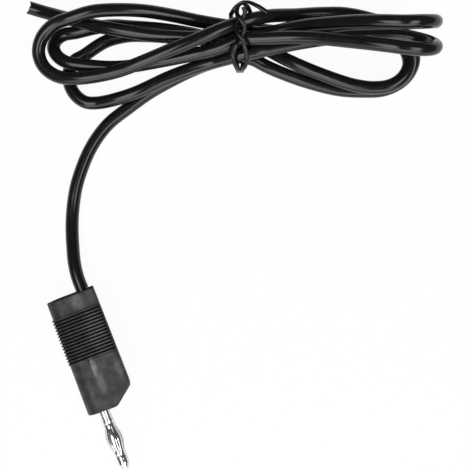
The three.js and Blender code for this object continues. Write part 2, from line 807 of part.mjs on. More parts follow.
function innerPieces() {
  const wireEnds = [tabStart - seatGap, resistorStart];
  const farWireEnds = [resistorEnd, ferruleStart + wireSeat];
  const coreEnds = [ferruleEnd - coreSeat, jacketStart + coreSeat];
  return [
    piece("solder_tab", solderTab(), "brass"),
    piece("resistor_body", resistorBody(), "resistor"),
    piece("resistor_lead_a", bar(wireRadius, ...wireEnds, cordOffset, wireSides), "tin"),
    piece("resistor_lead_b", bar(wireRadius, ...farWireEnds, cordOffset, wireSides), "tin"),
    piece("crimp_ferrule", crimpFerrule(), "tin"),
    piece("shrink_sleeve", shrinkSleeve(), "sleeve"),
    piece("conductor_stub", bar(coreRadius, ...coreEnds, cordOffset, wireSides), "copper"),
    piece("jacket_stub", jacketStub(), "cord"),
    piece("cord_clamp", cordClamp(), "clamp"),
  ];
}

function buildPlug() {
  const whole = housing();
  const plug = new THREE.Group();
  plug.add(
    piece("front_shell", shell(whole, 1), "shell"),
    piece("rear_shell", shell(whole, -1), "shell"),
    piece("contact_pin", contactPin(), "nickel"),
    piece("lamella_cage", lamellaCage(), "nickel"),
    piece("pin_nose", pinNose(), "nickel"),
    piece("socket_sleeve", socketSleeve(), "nickel"),
    ...innerPieces(),
  );
  plug.position.set(-plugMiddleX, -plugMiddleY, ribCrest);
  return plug;
}

function buildCord() {
  const route = hankRoute().map((point) => fromWaist(point.toArray()));
  const tieLine = tieRoute();
  const wound = leastGap(route, cordRadius);
  const tie = leastGap(tieLine, tieRadius);
  console.log(`hank: ${wound.length.toFixed(1)} mm of cord, least gap ${wound.gap.toFixed(2)} mm`);
  console.log(`tie: ${tie.length.toFixed(1)} mm of wire, least gap ${tie.gap.toFixed(2)} mm`);
  const { tail, core } = cutTail();
  const cord = new THREE.Group();
  cord.add(
    piece("cord_lead", freeTube(leadPoints(), cordRadius, cordSides, cordStep), "cord"),
    piece("cord_hank", woundTube(route, cordRadius, hankSides), "cord"),
    piece("cord_tail", tail, "cord"),
    piece("tail_conductor", core, "copper"),
    piece("twist_tie", woundTube(tieLine, tieRadius, tieSides), "tie"),
  );
  return cord;
}

const lead = new THREE.Group();
lead.add(buildPlug(), buildCord());

export default lead;
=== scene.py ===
"""Looks of an earthing lead: a grey 4 mm stacking plug and its black cord, folded and tied.

The plug lies on its back with the pin along -Y. Sizes are in millimetres and become metres where
a mesh is made. Places in the hank are given from the middle of its waist, as the cord was laid.
"""

from __future__ import annotations

import json
import logging
import math
from dataclasses import dataclass, field
from enum import Enum
from typing import Callable, Iterable, Sequence

import bpy
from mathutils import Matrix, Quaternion, Vector

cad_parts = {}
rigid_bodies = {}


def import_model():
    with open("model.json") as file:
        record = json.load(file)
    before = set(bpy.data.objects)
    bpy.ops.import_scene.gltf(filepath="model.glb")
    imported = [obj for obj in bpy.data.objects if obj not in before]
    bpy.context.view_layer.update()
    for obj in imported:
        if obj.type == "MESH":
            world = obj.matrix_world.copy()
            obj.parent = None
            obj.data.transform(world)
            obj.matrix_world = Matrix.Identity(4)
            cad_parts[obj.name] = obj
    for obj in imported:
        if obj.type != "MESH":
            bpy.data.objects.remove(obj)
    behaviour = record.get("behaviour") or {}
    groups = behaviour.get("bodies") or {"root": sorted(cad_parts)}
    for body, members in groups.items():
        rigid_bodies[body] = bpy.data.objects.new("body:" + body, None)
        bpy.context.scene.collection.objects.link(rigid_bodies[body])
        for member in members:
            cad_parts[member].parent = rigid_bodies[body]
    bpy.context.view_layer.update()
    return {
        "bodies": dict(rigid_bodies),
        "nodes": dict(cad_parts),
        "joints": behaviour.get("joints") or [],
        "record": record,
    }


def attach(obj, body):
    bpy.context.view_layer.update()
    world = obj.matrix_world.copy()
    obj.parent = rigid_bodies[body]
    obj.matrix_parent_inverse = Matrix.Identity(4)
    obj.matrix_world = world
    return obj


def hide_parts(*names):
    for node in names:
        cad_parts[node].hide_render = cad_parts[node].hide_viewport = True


MM = 0.001
# A turned point closer to the axis than this, in millimetres, is one point and not a ring.
ON_AXIS = 1e-6
PLUG_BODY = "plug_and_lead"
CAGE_BODY = "spring_cage"
LOG = logging.getLogger("earthing_lead")

Point = tuple[float, float, float]
Profile = list[tuple[float, float]]
Material = bpy.types.Material
Piece = bpy.types.Object
Socket = bpy.types.NodeSocket
Tree = bpy.types.NodeTree


class CutTool(Enum):
    """How one closed mesh changes another."""

    TAKE_AWAY = "DIFFERENCE"
    KEEP_COMMON = "INTERSECT"


class Side(Enum):
    """Half of the housing, by the sign of its height over the parting plane."""

    FRONT = 1
    REAR = -1


# ---------------------------------------------------------------- colour and nodes


def linear(hex_code: str) -> tuple[float, float, float, float]:
    """Turn an sRGB hex value into a linear colour.

    Args:
        hex_code: Six hex digits.

    Returns:
        The linear colour with full alpha.
    """
    channels = [int(hex_code[i : i + 2], 16) / 255 for i in (0, 2, 4)]
    return (*(c / 12.92 if c <= 0.04045 else ((c + 0.055) / 1.055) ** 2.4 for c in channels), 1.0)


def add_node(
    tree: Tree, kind: str, settings: dict | None = None, links: dict | None = None
) -> bpy.types.Node:
    """Add a node with its settings and links.

    Args:
        tree: Tree that gets the node.
        kind: Blender's node type.
        settings: Attribute names, or input names and indices, with their values.
        links: Input names or indices with the output sockets that feed them.

    Returns:
        The new node.
    """
    node = tree.nodes.new(kind)
    for name, value in (settings or {}).items():
        if isinstance(name, str) and hasattr(node, name):
            setattr(node, name, value)
        else:
            node.inputs[name].default_value = value
    for name, socket in (links or {}).items():
        tree.links.new(socket, node.inputs[name])
    return node


def new_material(name: str) -> tuple[Material, Tree, bpy.types.Node]:
    """Make an empty node material.

    Args:
        name: Plain name of the real material.

    Returns:
        The material, its tree and its output node.
    """
    material = bpy.data.materials.new(name)
    material.use_nodes = True
    tree = material.node_tree
    tree.nodes.clear()
    return material, tree, add_node(tree, "ShaderNodeOutputMaterial")


def per_metre(size_mm: float) -> float:
    """Give a noise or wave scale whose features are about this size in millimetres."""
    return 1 / (size_mm * MM)


# ---------------------------------------------------------------- finishes


@dataclass(frozen=True)
class MouldedAbs:
    """Injection moulded ABS.

    Its spark-eroded mould gives a satin skin with a fine grain, and soft clouds lighten its tone a
    little. Painted highlights lighten patches of the raised face and the ribs, and painted shade
    keeps the grooves, the socket's mouth and the face at the cord's end dark and dull.
    """

    name: str = "moulded_dark_grey_abs"
    body: str = "1e1f21"
    # Colour of the random clouds and of the painted highlights.
    pale_and_highlight: str = "808184"
    # Colour of the painted shade in the grooves, the socket's mouth and on the cord's end.
    shade_colour: str = "0b0b0c"
    ior: float = 1.38
    roughness: float = 0.46
    roughness_spread: float = 0.06
    shade_roughness: float = 0.95
    cloud_edge: tuple[float, float] = (0.35, 0.7)
    cloud_share: float = 0.16
    least_highlight: float = 0.55
    smudge_mm: float = 2.6
    # The real grain is finer. It is drawn at about the smallest size that shows from close by.
    grain_mm: float = 0.12
    grain_depth_mm: float = 0.006
    grain_strength: float = 0.35
    # Painted highlights: middle, reach and strength of each light patch on the raised face.
    highlight_patches: tuple[tuple[Point, Point, float], ...] = ()
    full_highlight: float = 0.2
    highlight_edge: float = 0.0
    highlight_edge_run: tuple[float, float] = (-0.05, 0.25)
    first_rib: float = 0.0
    rib_count: int = 15
    rib_pitch: float = 1.0
    groove_edge: tuple[float, float] = (0.35, 0.8)
    # Strength of the painted shade on the floors of the grooves.
    groove_shade: float = 0.85
    end_face_edge: tuple[float, float] = (0.75, 0.95)
    mouth: Point = (0.0, 0.0, 0.0)
    mouth_size: tuple[float, float] = (2.8, 2.2)

    def near(self, tree: Tree, place: Socket, middle: Point, reach: Point) -> Socket:
        """Measure how far a place is from a middle, where 1 is the reach in each direction.

        Args:
            tree: The material's tree.
            place: Object coordinates.
            middle: Middle of the ellipsoid, in millimetres.
            reach: Its half sizes.

        Returns:
            The distance.
        """
        offset = add_node(
            tree, "ShaderNodeVectorMath", {"operation": "SUBTRACT", 1: Vector(middle) * MM}, {0: place}
        )
        scaled = add_node(
            tree,
            "ShaderNodeVectorMath",
            {"operation": "DIVIDE", 1: Vector(reach) * MM},
            {0: offset.outputs[0]},
        )
        away = add_node(tree, "ShaderNodeVectorMath", {"operation": "LENGTH"}, {0: scaled.outputs[0]})
        return away.outputs["Value"]

    def painted_highlight_places(self, tree: Tree, place: Socket) -> Socket:
        """Mask the painted highlights: soft light patches on the raised face and the ribs.

        Args:
            tree: The material's tree.
            place: Object coordinates.

        Returns:
            The mask, which is each patch's strength in its middle.
        """
        across = add_node(tree, "ShaderNodeSeparateXYZ", None, {0: place}).outputs["X"]
        mask = None
        for middle, reach, strength in self.highlight_patches:
            patch = add_node(
                tree,
                "ShaderNodeMapRange",
                {
                    "interpolation_type": "SMOOTHSTEP",
                    "From Min": 1.0,
                    "From Max": self.full_highlight,
                    "To Max": strength,
                },
                {"Value": self.near(tree, place, middle, reach)},
            ).outputs["Result"]
            if mask is not None:
                patch = add_node(
                    tree, "ShaderNodeMath", {"operation": "MAXIMUM"}, {0: mask, 1: patch}
                ).outputs[0]
            mask = patch
        start, full = (self.highlight_edge + step for step in self.highlight_edge_run)
        beyond = add_node(
            tree, "ShaderNodeMapRange", {"From Min": start * MM, "From Max": full * MM}, {"Value": across}
        )
        return add_node(
            tree, "ShaderNodeMath", {"operation": "MULTIPLY"}, {0: mask, 1: beyond.outputs["Result"]}
        ).outputs[0]

    def painted_shade_places(self, tree: Tree, place: Socket) -> Socket:
        """Mask the painted shade: the floors of the grooves, the socket's mouth and the cord's end face.

        Args:
            tree: The material's tree.
            place: Object coordinates.

        Returns:
            The mask.
        """
        # Painted shade on the floors of the grooves between the ribs.
        along = add_node(tree, "ShaderNodeSeparateXYZ", None, {0: place}).outputs["Y"]
        run = add_node(tree, "ShaderNodeMath", {"operation": "SUBTRACT", 1: self.first_rib * MM}, {0: along})
        half_pitch = self.rib_pitch / 2 * MM
        away = add_node(
            tree, "ShaderNodeMath", {"operation": "PINGPONG", 1: half_pitch}, {0: run.outputs[0]}
        )
        start, full = (share * half_pitch for share in self.groove_edge)
        groove = add_node(
            tree,
            "ShaderNodeMapRange",
            {
                "interpolation_type": "SMOOTHSTEP",
                "From Min": start,
                "From Max": full,
                "To Max": self.groove_shade,
            },
            {"Value": away.outputs[0]},
        )
        half_run = (self.rib_count - 1) * half_pitch
        ribbed = add_node(
            tree, "ShaderNodeMath", {"operation": "COMPARE", 1: -half_run, 2: half_run}, {0: run.outputs[0]}
        )
        shaded = add_node(
            tree, "ShaderNodeMath", {"operation": "MULTIPLY"}, {0: groove.outputs[0], 1: ribbed.outputs[0]}
        )
        # Painted shade fills the socket's mouth.
        radius, depth = self.mouth_size
        level = add_node(
            tree, "ShaderNodeVectorMath", {"operation": "MULTIPLY", 1: (1.0, 0.0, 1.0)}, {0: place}
        )
        axis = (self.mouth[0], 0.0, self.mouth[2])
        round_hole = add_node(
            tree,
            "ShaderNodeMath",
            {"operation": "LESS_THAN", 1: 1.0},
            {0: self.near(tree, level.outputs[0], axis, (radius, radius, radius))},
        )
        mouth_floor = (self.mouth[1] - depth) * MM
        deep = add_node(tree, "ShaderNodeMath", {"operation": "GREATER_THAN", 1: mouth_floor}, {0: along})
        hole = add_node(
            tree, "ShaderNodeMath", {"operation": "MULTIPLY"}, {0: round_hole.outputs[0], 1: deep.outputs[0]}
        )
        # Painted shade on the face at the cord's end, which the lamps hardly reach.
        normal = add_node(tree, "ShaderNodeTexCoord").outputs["Normal"]
        facing = add_node(tree, "ShaderNodeSeparateXYZ", None, {0: normal}).outputs["Y"]
        start, full = self.end_face_edge
        end_face = add_node(
            tree, "ShaderNodeMapRange", {"From Min": start, "From Max": full}, {"Value": facing}
        )
        for dark_place in (hole.outputs[0], end_face.outputs["Result"]):
            shaded = add_node(
                tree, "ShaderNodeMath", {"operation": "MAXIMUM"}, {0: shaded.outputs[0], 1: dark_place}
            )
        return shaded.outputs[0]

    def build(self) -> Material:
        """Build the material: clouds, painted highlights and painted shade in its colour, then skin and
        grain.

        Returns:
            The material.
        """
        material, tree, output = new_material(self.name)
        place = add_node(tree, "ShaderNodeTexCoord").outputs["Object"]
        smudge = add_node(
            tree,
            "ShaderNodeTexNoise",
            {"Scale": per_metre(self.smudge_mm), "Detail": 5.0, "Roughness": 0.6},
            {"Vector": place},
        )
        grain = add_node(
            tree, "ShaderNodeTexNoise", {"Scale": per_metre(self.grain_mm), "Detail": 3.0}, {"Vector": place}
        )
        clear, cloudy = self.cloud_edge
        clouds = add_node(
            tree,
            "ShaderNodeMapRange",
            {"From Min": clear, "From Max": cloudy},
            {"Value": smudge.outputs["Fac"]},
        )
        highlight_spread = add_node(
            tree, "ShaderNodeMapRange", {"To Min": self.least_highlight}, {"Value": clouds.outputs["Result"]}
        )
        # Painted highlights on the raised face and the ribs, spread a little by the clouds.
        painted_highlight = add_node(
            tree,
            "ShaderNodeMath",
            {"operation": "MULTIPLY"},
            {0: highlight_spread.outputs["Result"], 1: self.painted_highlight_places(tree, place)},
        )
        # The random clouds and the painted highlights both lighten the colour.
        patch = add_node(
            tree,
            "ShaderNodeMath",
            {"operation": "MULTIPLY_ADD", 1: self.cloud_share},
            {0: clouds.outputs["Result"], 2: painted_highlight.outputs[0]},
        )
        colour = add_node(
            tree,
            "ShaderNodeMix",
            {"data_type": "RGBA", 6: linear(self.body), 7: linear(self.pale_and_highlight)},
            {0: patch.outputs[0]},
        )
        # Painted shade goes over the colour in the grooves, the socket's mouth and on the cord's end.
        shade_mask = self.painted_shade_places(tree, place)
        colour = add_node(
            tree,
            "ShaderNodeMix",
            {"data_type": "RGBA", 7: linear(self.shade_colour)},
            {0: shade_mask, 6: colour.outputs[2]},
        )
        skin = add_node(
            tree,
            "ShaderNodeMapRange",
            {
                "From Min": 0.3,
                "From Max": 0.7,
                "To Min": self.roughness + self.roughness_spread,
                "To Max": self.roughness - self.roughness_spread,
            },
            {"Value": smudge.outputs["Fac"]},
        )
        gloss = add_node(
            tree,
            "ShaderNodeMapRange",
            {"To Max": self.shade_roughness},
            {"Value": shade_mask, "To Min": skin.outputs["Result"]},
        )
        bump = add_node(
            tree,
            "ShaderNodeBump",
            {"Strength": self.grain_strength, "Distance": self.grain_depth_mm * MM},
            {"Height": grain.outputs["Fac"]},
        )
        shader = add_node(
            tree,
            "ShaderNodeBsdfPrincipled",
            {"IOR": self.ior},
            {
                "Base Color": colour.outputs[2],
                "Roughness": gloss.outputs["Result"],
                "Normal": bump.outputs["Normal"],
            },
        )
        tree.links.new(shader.outputs["BSDF"], output.inputs["Surface"])
        return material


@dataclass(frozen=True)
class ExtrudedPvc:
    """Soft PVC drawn over a conductor.

    Its skin is near black and glossy, so that each cord shows as dark with bright streaks. Faint
    die lines run along it, and wide scuffs are a little paler and duller.
    """

    name: str = "extruded_black_pvc"
    body: str = "121213"
    scuffed: str = "1c1c1d"
    ior: float = 1.44
    roughness: float = 0.14
    # How far the roughness falls on clean skin and rises on scuffed skin.
    roughness_spread: tuple[float, float] = (0.04, 0.12)
    # Changes of the line pattern in one turn round the cord, and in as much length along it.
    die_lines: tuple[float, float] = (30.0, 0.12)
    line_depth_mm: float = 0.004
    line_strength: float = 0.3
    scuff_mm: float = 6.0
    scuff_edge: tuple[float, float] = (0.5, 0.75)

    def build(self) -> Material:
        """Build the material. Its die lines follow the cord's own UV map.

        Returns:
            The material.
        """
        material, tree, output = new_material(self.name)
        coordinates = add_node(tree, "ShaderNodeTexCoord")
        stretched = add_node(
            tree,
            "ShaderNodeMapping",
            {"Scale": (*self.die_lines, 1.0)},
            {"Vector": coordinates.outputs["UV"]},
        )
        lines = add_node(
            tree, "ShaderNodeTexNoise", {"Scale": 1.0, "Detail": 3.0}, {"Vector": stretched.outputs["Vector"]}
        )
        scuffs = add_node(
            tree,
            "ShaderNodeTexNoise",
            {"Scale": per_metre(self.scuff_mm), "Detail": 5.0, "Roughness": 0.65},
            {"Vector": coordinates.outputs["Object"]},
        )
        clean, scuffed = self.scuff_edge
        patch = add_node(
            tree,
            "ShaderNodeMapRange",
            {"From Min": clean, "From Max": scuffed},
            {"Value": scuffs.outputs["Fac"]},
        )
        colour = add_node(
            tree,
            "ShaderNodeMix",
            {"data_type": "RGBA", 6: linear(self.body), 7: linear(self.scuffed)},
            {0: patch.outputs["Result"]},
        )
        falls, rises = self.roughness_spread
        gloss = add_node(
            tree,
            "ShaderNodeMapRange",
            {
                "From Min": 0.3,
                "From Max": 0.8,
                "To Min": self.roughness - falls,
                "To Max": self.roughness + rises,
            },
            {"Value": scuffs.outputs["Fac"]},
        )
        bump = add_node(
            tree,
            "ShaderNodeBump",
            {"Strength": self.line_strength, "Distance": self.line_depth_mm * MM},
            {"Height": lines.outputs["Fac"]},
        )
        shader = add_node(
            tree,
            "ShaderNodeBsdfPrincipled",
            {"IOR": self.ior},
            {
                "Base Color": colour.outputs[2],
                "Roughness": gloss.outputs["Result"],
                "Normal": bump.outputs["Normal"],
            },
        )
        tree.links.new(shader.outputs["BSDF"], output.inputs["Surface"])
        return material


@dataclass(frozen=True)
class PlainMetal:
    """Metal that mirrors its surroundings, faintly lined by tool marks round or along the piece."""

    name: str
    colour: str
    roughness: float = 0.16
    mark_mm: float = 0.1
    mark_depth_mm: float = 0.0004
    lengthwise: bool = False
    mark_strength: float = 0.03
    # The marks change this much slower along their own run than across it.
    mark_run: float = 0.04
    haze_mm: float = 1.5
    haze: tuple[float, float] = (0.9, 1.15)

    def build(self) -> Material:
        """Build the material.

        Returns:
            The material.
        """
        material, tree, output = new_material(self.name)
        place = add_node(tree, "ShaderNodeTexCoord").outputs["Object"]
        along, across = (self.mark_run, 1.0) if self.lengthwise else (1.0, self.mark_run)
        stretched = add_node(
            tree, "ShaderNodeMapping", {"Scale": (across, along, across)}, {"Vector": place}
        )
        marks = add_node(
            tree,
            "ShaderNodeTexNoise",
            {"Scale": per_metre(self.mark_mm), "Detail": 2.0},
            {"Vector": stretched.outputs["Vector"]},
        )
        haze = add_node(
            tree, "ShaderNodeTexNoise", {"Scale": per_metre(self.haze_mm), "Detail": 3.0}, {"Vector": place}
        )
        bright, dull = (self.roughness * share for share in self.haze)
        gloss = add_node(
            tree, "ShaderNodeMapRange", {"To Min": bright, "To Max": dull}, {"Value": haze.outputs["Fac"]}
        )
        bump = add_node(
            tree,
            "ShaderNodeBump",
            {"Strength": self.mark_strength, "Distance": self.mark_depth_mm * MM},
            {"Height": marks.outputs["Fac"]},
        )
        shader = add_node(
            tree,
            "ShaderNodeBsdfPrincipled",
            {"Base Color": linear(self.colour), "Metallic": 1.0},
            {"Roughness": gloss.outputs["Result"], "Normal": bump.outputs["Normal"]},
        )
        tree.links.new(shader.outputs["BSDF"], output.inputs["Surface"])
        return material


@dataclass(frozen=True)
class MottledPlastic:
    """Small plastic or lacquered piece with a slightly uneven colour and skin."""

    name: str
    colour: str
    uneven: str
    roughness: float = 0.45
    patch_mm: float = 0.8
    ior: float = 1.5
    skin_depth_mm: float = 0.01
    skin_strength: float = 0.2

    def build(self) -> Material:
        """Build the material.

        Returns:
            The material.
        """
        material, tree, output = new_material(self.name)
        place = add_node(tree, "ShaderNodeTexCoord").outputs["Object"]
        patches = add_node(
            tree, "ShaderNodeTexNoise", {"Scale": per_metre(self.patch_mm), "Detail": 4.0}, {"Vector": place}
        )
        colour = add_node(
            tree,
            "ShaderNodeMix",
            {"data_type": "RGBA", 6: linear(self.colour), 7: linear(self.uneven)},
            {0: patches.outputs["Fac"]},
        )
        bump = add_node(
            tree,
            "ShaderNodeBump",
            {"Strength": self.skin_strength, "Distance": self.skin_depth_mm * MM},
            {"Height": patches.outputs["Fac"]},
        )
        shader = add_node(
            tree,
            "ShaderNodeBsdfPrincipled",
            {"Roughness": self.roughness, "IOR": self.ior},
            {"Base Color": colour.outputs[2], "Normal": bump.outputs["Normal"]},
        )
        tree.links.new(shader.outputs["BSDF"], output.inputs["Surface"])
        return material


# ---------------------------------------------------------------- mesh helpers


def new_object(name: str, data: bpy.types.ID) -> Piece:
    """Make an object and link it to the scene.

    Args:
        name: Name of the object.
        data: Its mesh, camera or lamp.

    Returns:
        The object.
    """
    made = bpy.data.objects.new(name, data)
    bpy.context.scene.collection.objects.link(made)
    return made


def new_piece(name: str, corners: Sequence[Sequence[float]], faces: Sequence[Sequence[int]]) -> Piece:
    """Make an object whose mesh is given in millimetres.

    Args:
        name: Name of the piece.
        corners: Vertices in the row frame.
        faces: Corner indices of each face, seen from outside.

    Returns:
        The object, linked to the scene.
    """
    mesh = bpy.data.meshes.new(name)
    mesh.from_pydata([Vector(c) * MM for c in corners], [], faces)
    mesh.update()
    return new_object(name, mesh)


def soften(piece: Piece, crease_degrees: float = 32) -> Piece:
    """Shade a piece smooth, with sharp edges past an angle.

    Args:
        piece: Piece with a mesh.
        crease_degrees: Least angle between two faces whose shared edge stays sharp.

    Returns:
        The same piece.
    """
    for face in piece.data.polygons:
        face.use_smooth = True
    piece.data.set_sharp_from_angle(angle=math.radians(crease_degrees))
    return piece


def bake_modifiers(piece: Piece) -> Piece:
    """Replace a piece's mesh by its evaluated one and clear its modifiers.

    Args:
        piece: Piece with modifiers.

    Returns:
        The same piece.
    """
    bpy.context.view_layer.update()
    graph = bpy.context.evaluated_depsgraph_get()
    mesh = bpy.data.meshes.new_from_object(piece.evaluated_get(graph))
    piece.modifiers.clear()
    piece.data = mesh
    return piece


def carve(piece: Piece, tool: Piece, how: CutTool) -> Piece:
    """Cut a piece with a tool, and remove the tool.

    Args:
        piece: Closed mesh to change.
        tool: Closed mesh that is used up.
        how: Whether the tool's space is taken away or kept.

    Returns:
        The changed piece.
    """
    modifier = piece.modifiers.new("cut", "BOOLEAN")
    modifier.operation = how.value
    modifier.solver = "EXACT"
    modifier.object = tool
    bake_modifiers(piece)
    bpy.data.objects.remove(tool)
    return piece


def new_geometry_tree(name: str, inputs: dict[str, str]) -> Tree:
    """Make a Geometry Nodes tree that turns one geometry into another.

    Args:
        name: Name of the tree.
        inputs: Names of its other inputs, each with the kind of its socket.

    Returns:
        The tree, with sockets and no nodes.
    """
    tree = bpy.data.node_groups.new(name, "GeometryNodeTree")
    tree.interface.new_socket("Geometry", in_out="INPUT", socket_type="NodeSocketGeometry")
    for label, kind in inputs.items():
        tree.interface.new_socket(label, in_out="INPUT", socket_type=f"NodeSocket{kind}")
    tree.interface.new_socket("Geometry", in_out="OUTPUT", socket_type="NodeSocketGeometry")
    return tree


def run_tree(piece: Piece, tree: Tree, values: dict) -> Piece:
    """Run a Geometry Nodes tree on a piece and keep the mesh that comes out.

    Args:
        piece: Piece whose mesh goes in.
        tree: The tree.
        values: Names of the tree's other inputs with their values.

    Returns:
        The same piece.
    """
    modifier = piece.modifiers.new(tree.name, "NODES")
    modifier.node_group = tree
    for item in tree.interface.items_tree:
        if item.name in values:
            modifier[item.identifier] = values[item.name]
    return bake_modifiers(piece)


def eased(profile: Profile, size: float) -> Profile:
    """Round the corners of a turned profile.

    Args:
        profile: Radii and places along the axis.
        size: How far from each corner the rounding starts, in millimetres.

    Returns:
        The profile with three points at each corner that isn't on the axis.
    """
    # Most of a side that a rounding may take, so that the two on one side never meet.
    most = 0.45
    result: Profile = []
    for index, corner in enumerate(profile):
        if index in (0, len(profile) - 1):
            result.append(corner)
            continue
        here = Vector(corner)
        back = Vector(profile[index - 1]) - here
        ahead = Vector(profile[index + 1]) - here
        reach = min(size, back.length * most, ahead.length * most)
        start = here + back.normalized() * reach
        end = here + ahead.normalized() * reach
        middle = (start + end + 2 * here) / 4
        result.extend([tuple(start), tuple(middle), tuple(end)])
    return result


def turned(name: str, profile: Profile, axis: tuple[float, float], sides: int = 96) -> Piece:
    """Turn a profile about an axis along Y.

    Args:
        name: Name of the piece.
        profile: Radii and places along the axis, from the -Y end, closed on the axis or on itself.
        axis: Where the axis stands in X and Z.
        sides: Facets round it.

    Returns:
        The turned piece.
    """
    corners: list[Point] = []
    faces: list[list[int]] = []
    rings: list[list[int]] = []
    for radius, y in profile:
        if radius < ON_AXIS:
            rings.append([len(corners)])
            corners.append((axis[0], y, axis[1]))
            continue
        rings.append(list(range(len(corners), len(corners) + sides)))
        for side in range(sides):
            angle = 2 * math.pi * side / sides
            corners.append((axis[0] + radius * math.cos(angle), y, axis[1] + radius * math.sin(angle)))
    closed = profile[0][0] > ON_AXIS
    pairs = list(zip(rings, rings[1:])) + ([(rings[-1], rings[0])] if closed else [])
    for low, high in pairs:
        for side in range(sides):
            turn = (side + 1) % sides
            if len(low) == 1 and len(high) > 1:
                faces.append([low[0], high[side], high[turn]])
            elif len(high) == 1 and len(low) > 1:
                faces.append([low[turn], low[side], high[0]])
            elif len(low) > 1:
                faces.append([low[turn], low[side], high[side], high[turn]])
    return new_piece(name, corners, faces)


def box_tool(low: Point, high: Point) -> Piece:
    """Make a closed box to cut with.

    Args:
        low: Its corner with the least X, Y and Z, in millimetres.
        high: Its corner with the most.

    Returns:
        The box.
    """
    corners = [(x, y, z) for x in (low[0], high[0]) for y in (low[1], high[1]) for z in (low[2], high[2])]
    faces = [[0, 1, 3, 2], [4, 6, 7, 5], [0, 4, 5, 1], [2, 3, 7, 6], [0, 2, 6, 4], [1, 5, 7, 3]]
    return new_piece("cutter", corners, faces)


def bar_tool(radius: float, start: float, end: float, axis: tuple[float, float]) -> Piece:
    """Make a closed round bar along Y, in millimetres, to cut with."""
    return turned("cutter", [(0, start), (radius, start), (radius, end), (0, end)], axis, sides=64)


def smooth_step(low: float, high: float, value: float) -> float:
    """Rise smoothly from 0 at `low` to 1 at `high`, which may be the lower number."""
    share = min(1.0, max(0.0, (value - low) / (high - low)))
    return share * share * (3 - 2 * share)


def blurred_edge(at: float, blur: tuple[float, float], value: float) -> float:
    """Rise smoothly from 0 to 1 beside an edge, over the run between two steps from it."""
    return smooth_step(at + blur[0], at + blur[1], value)


# ---------------------------------------------------------------- plug


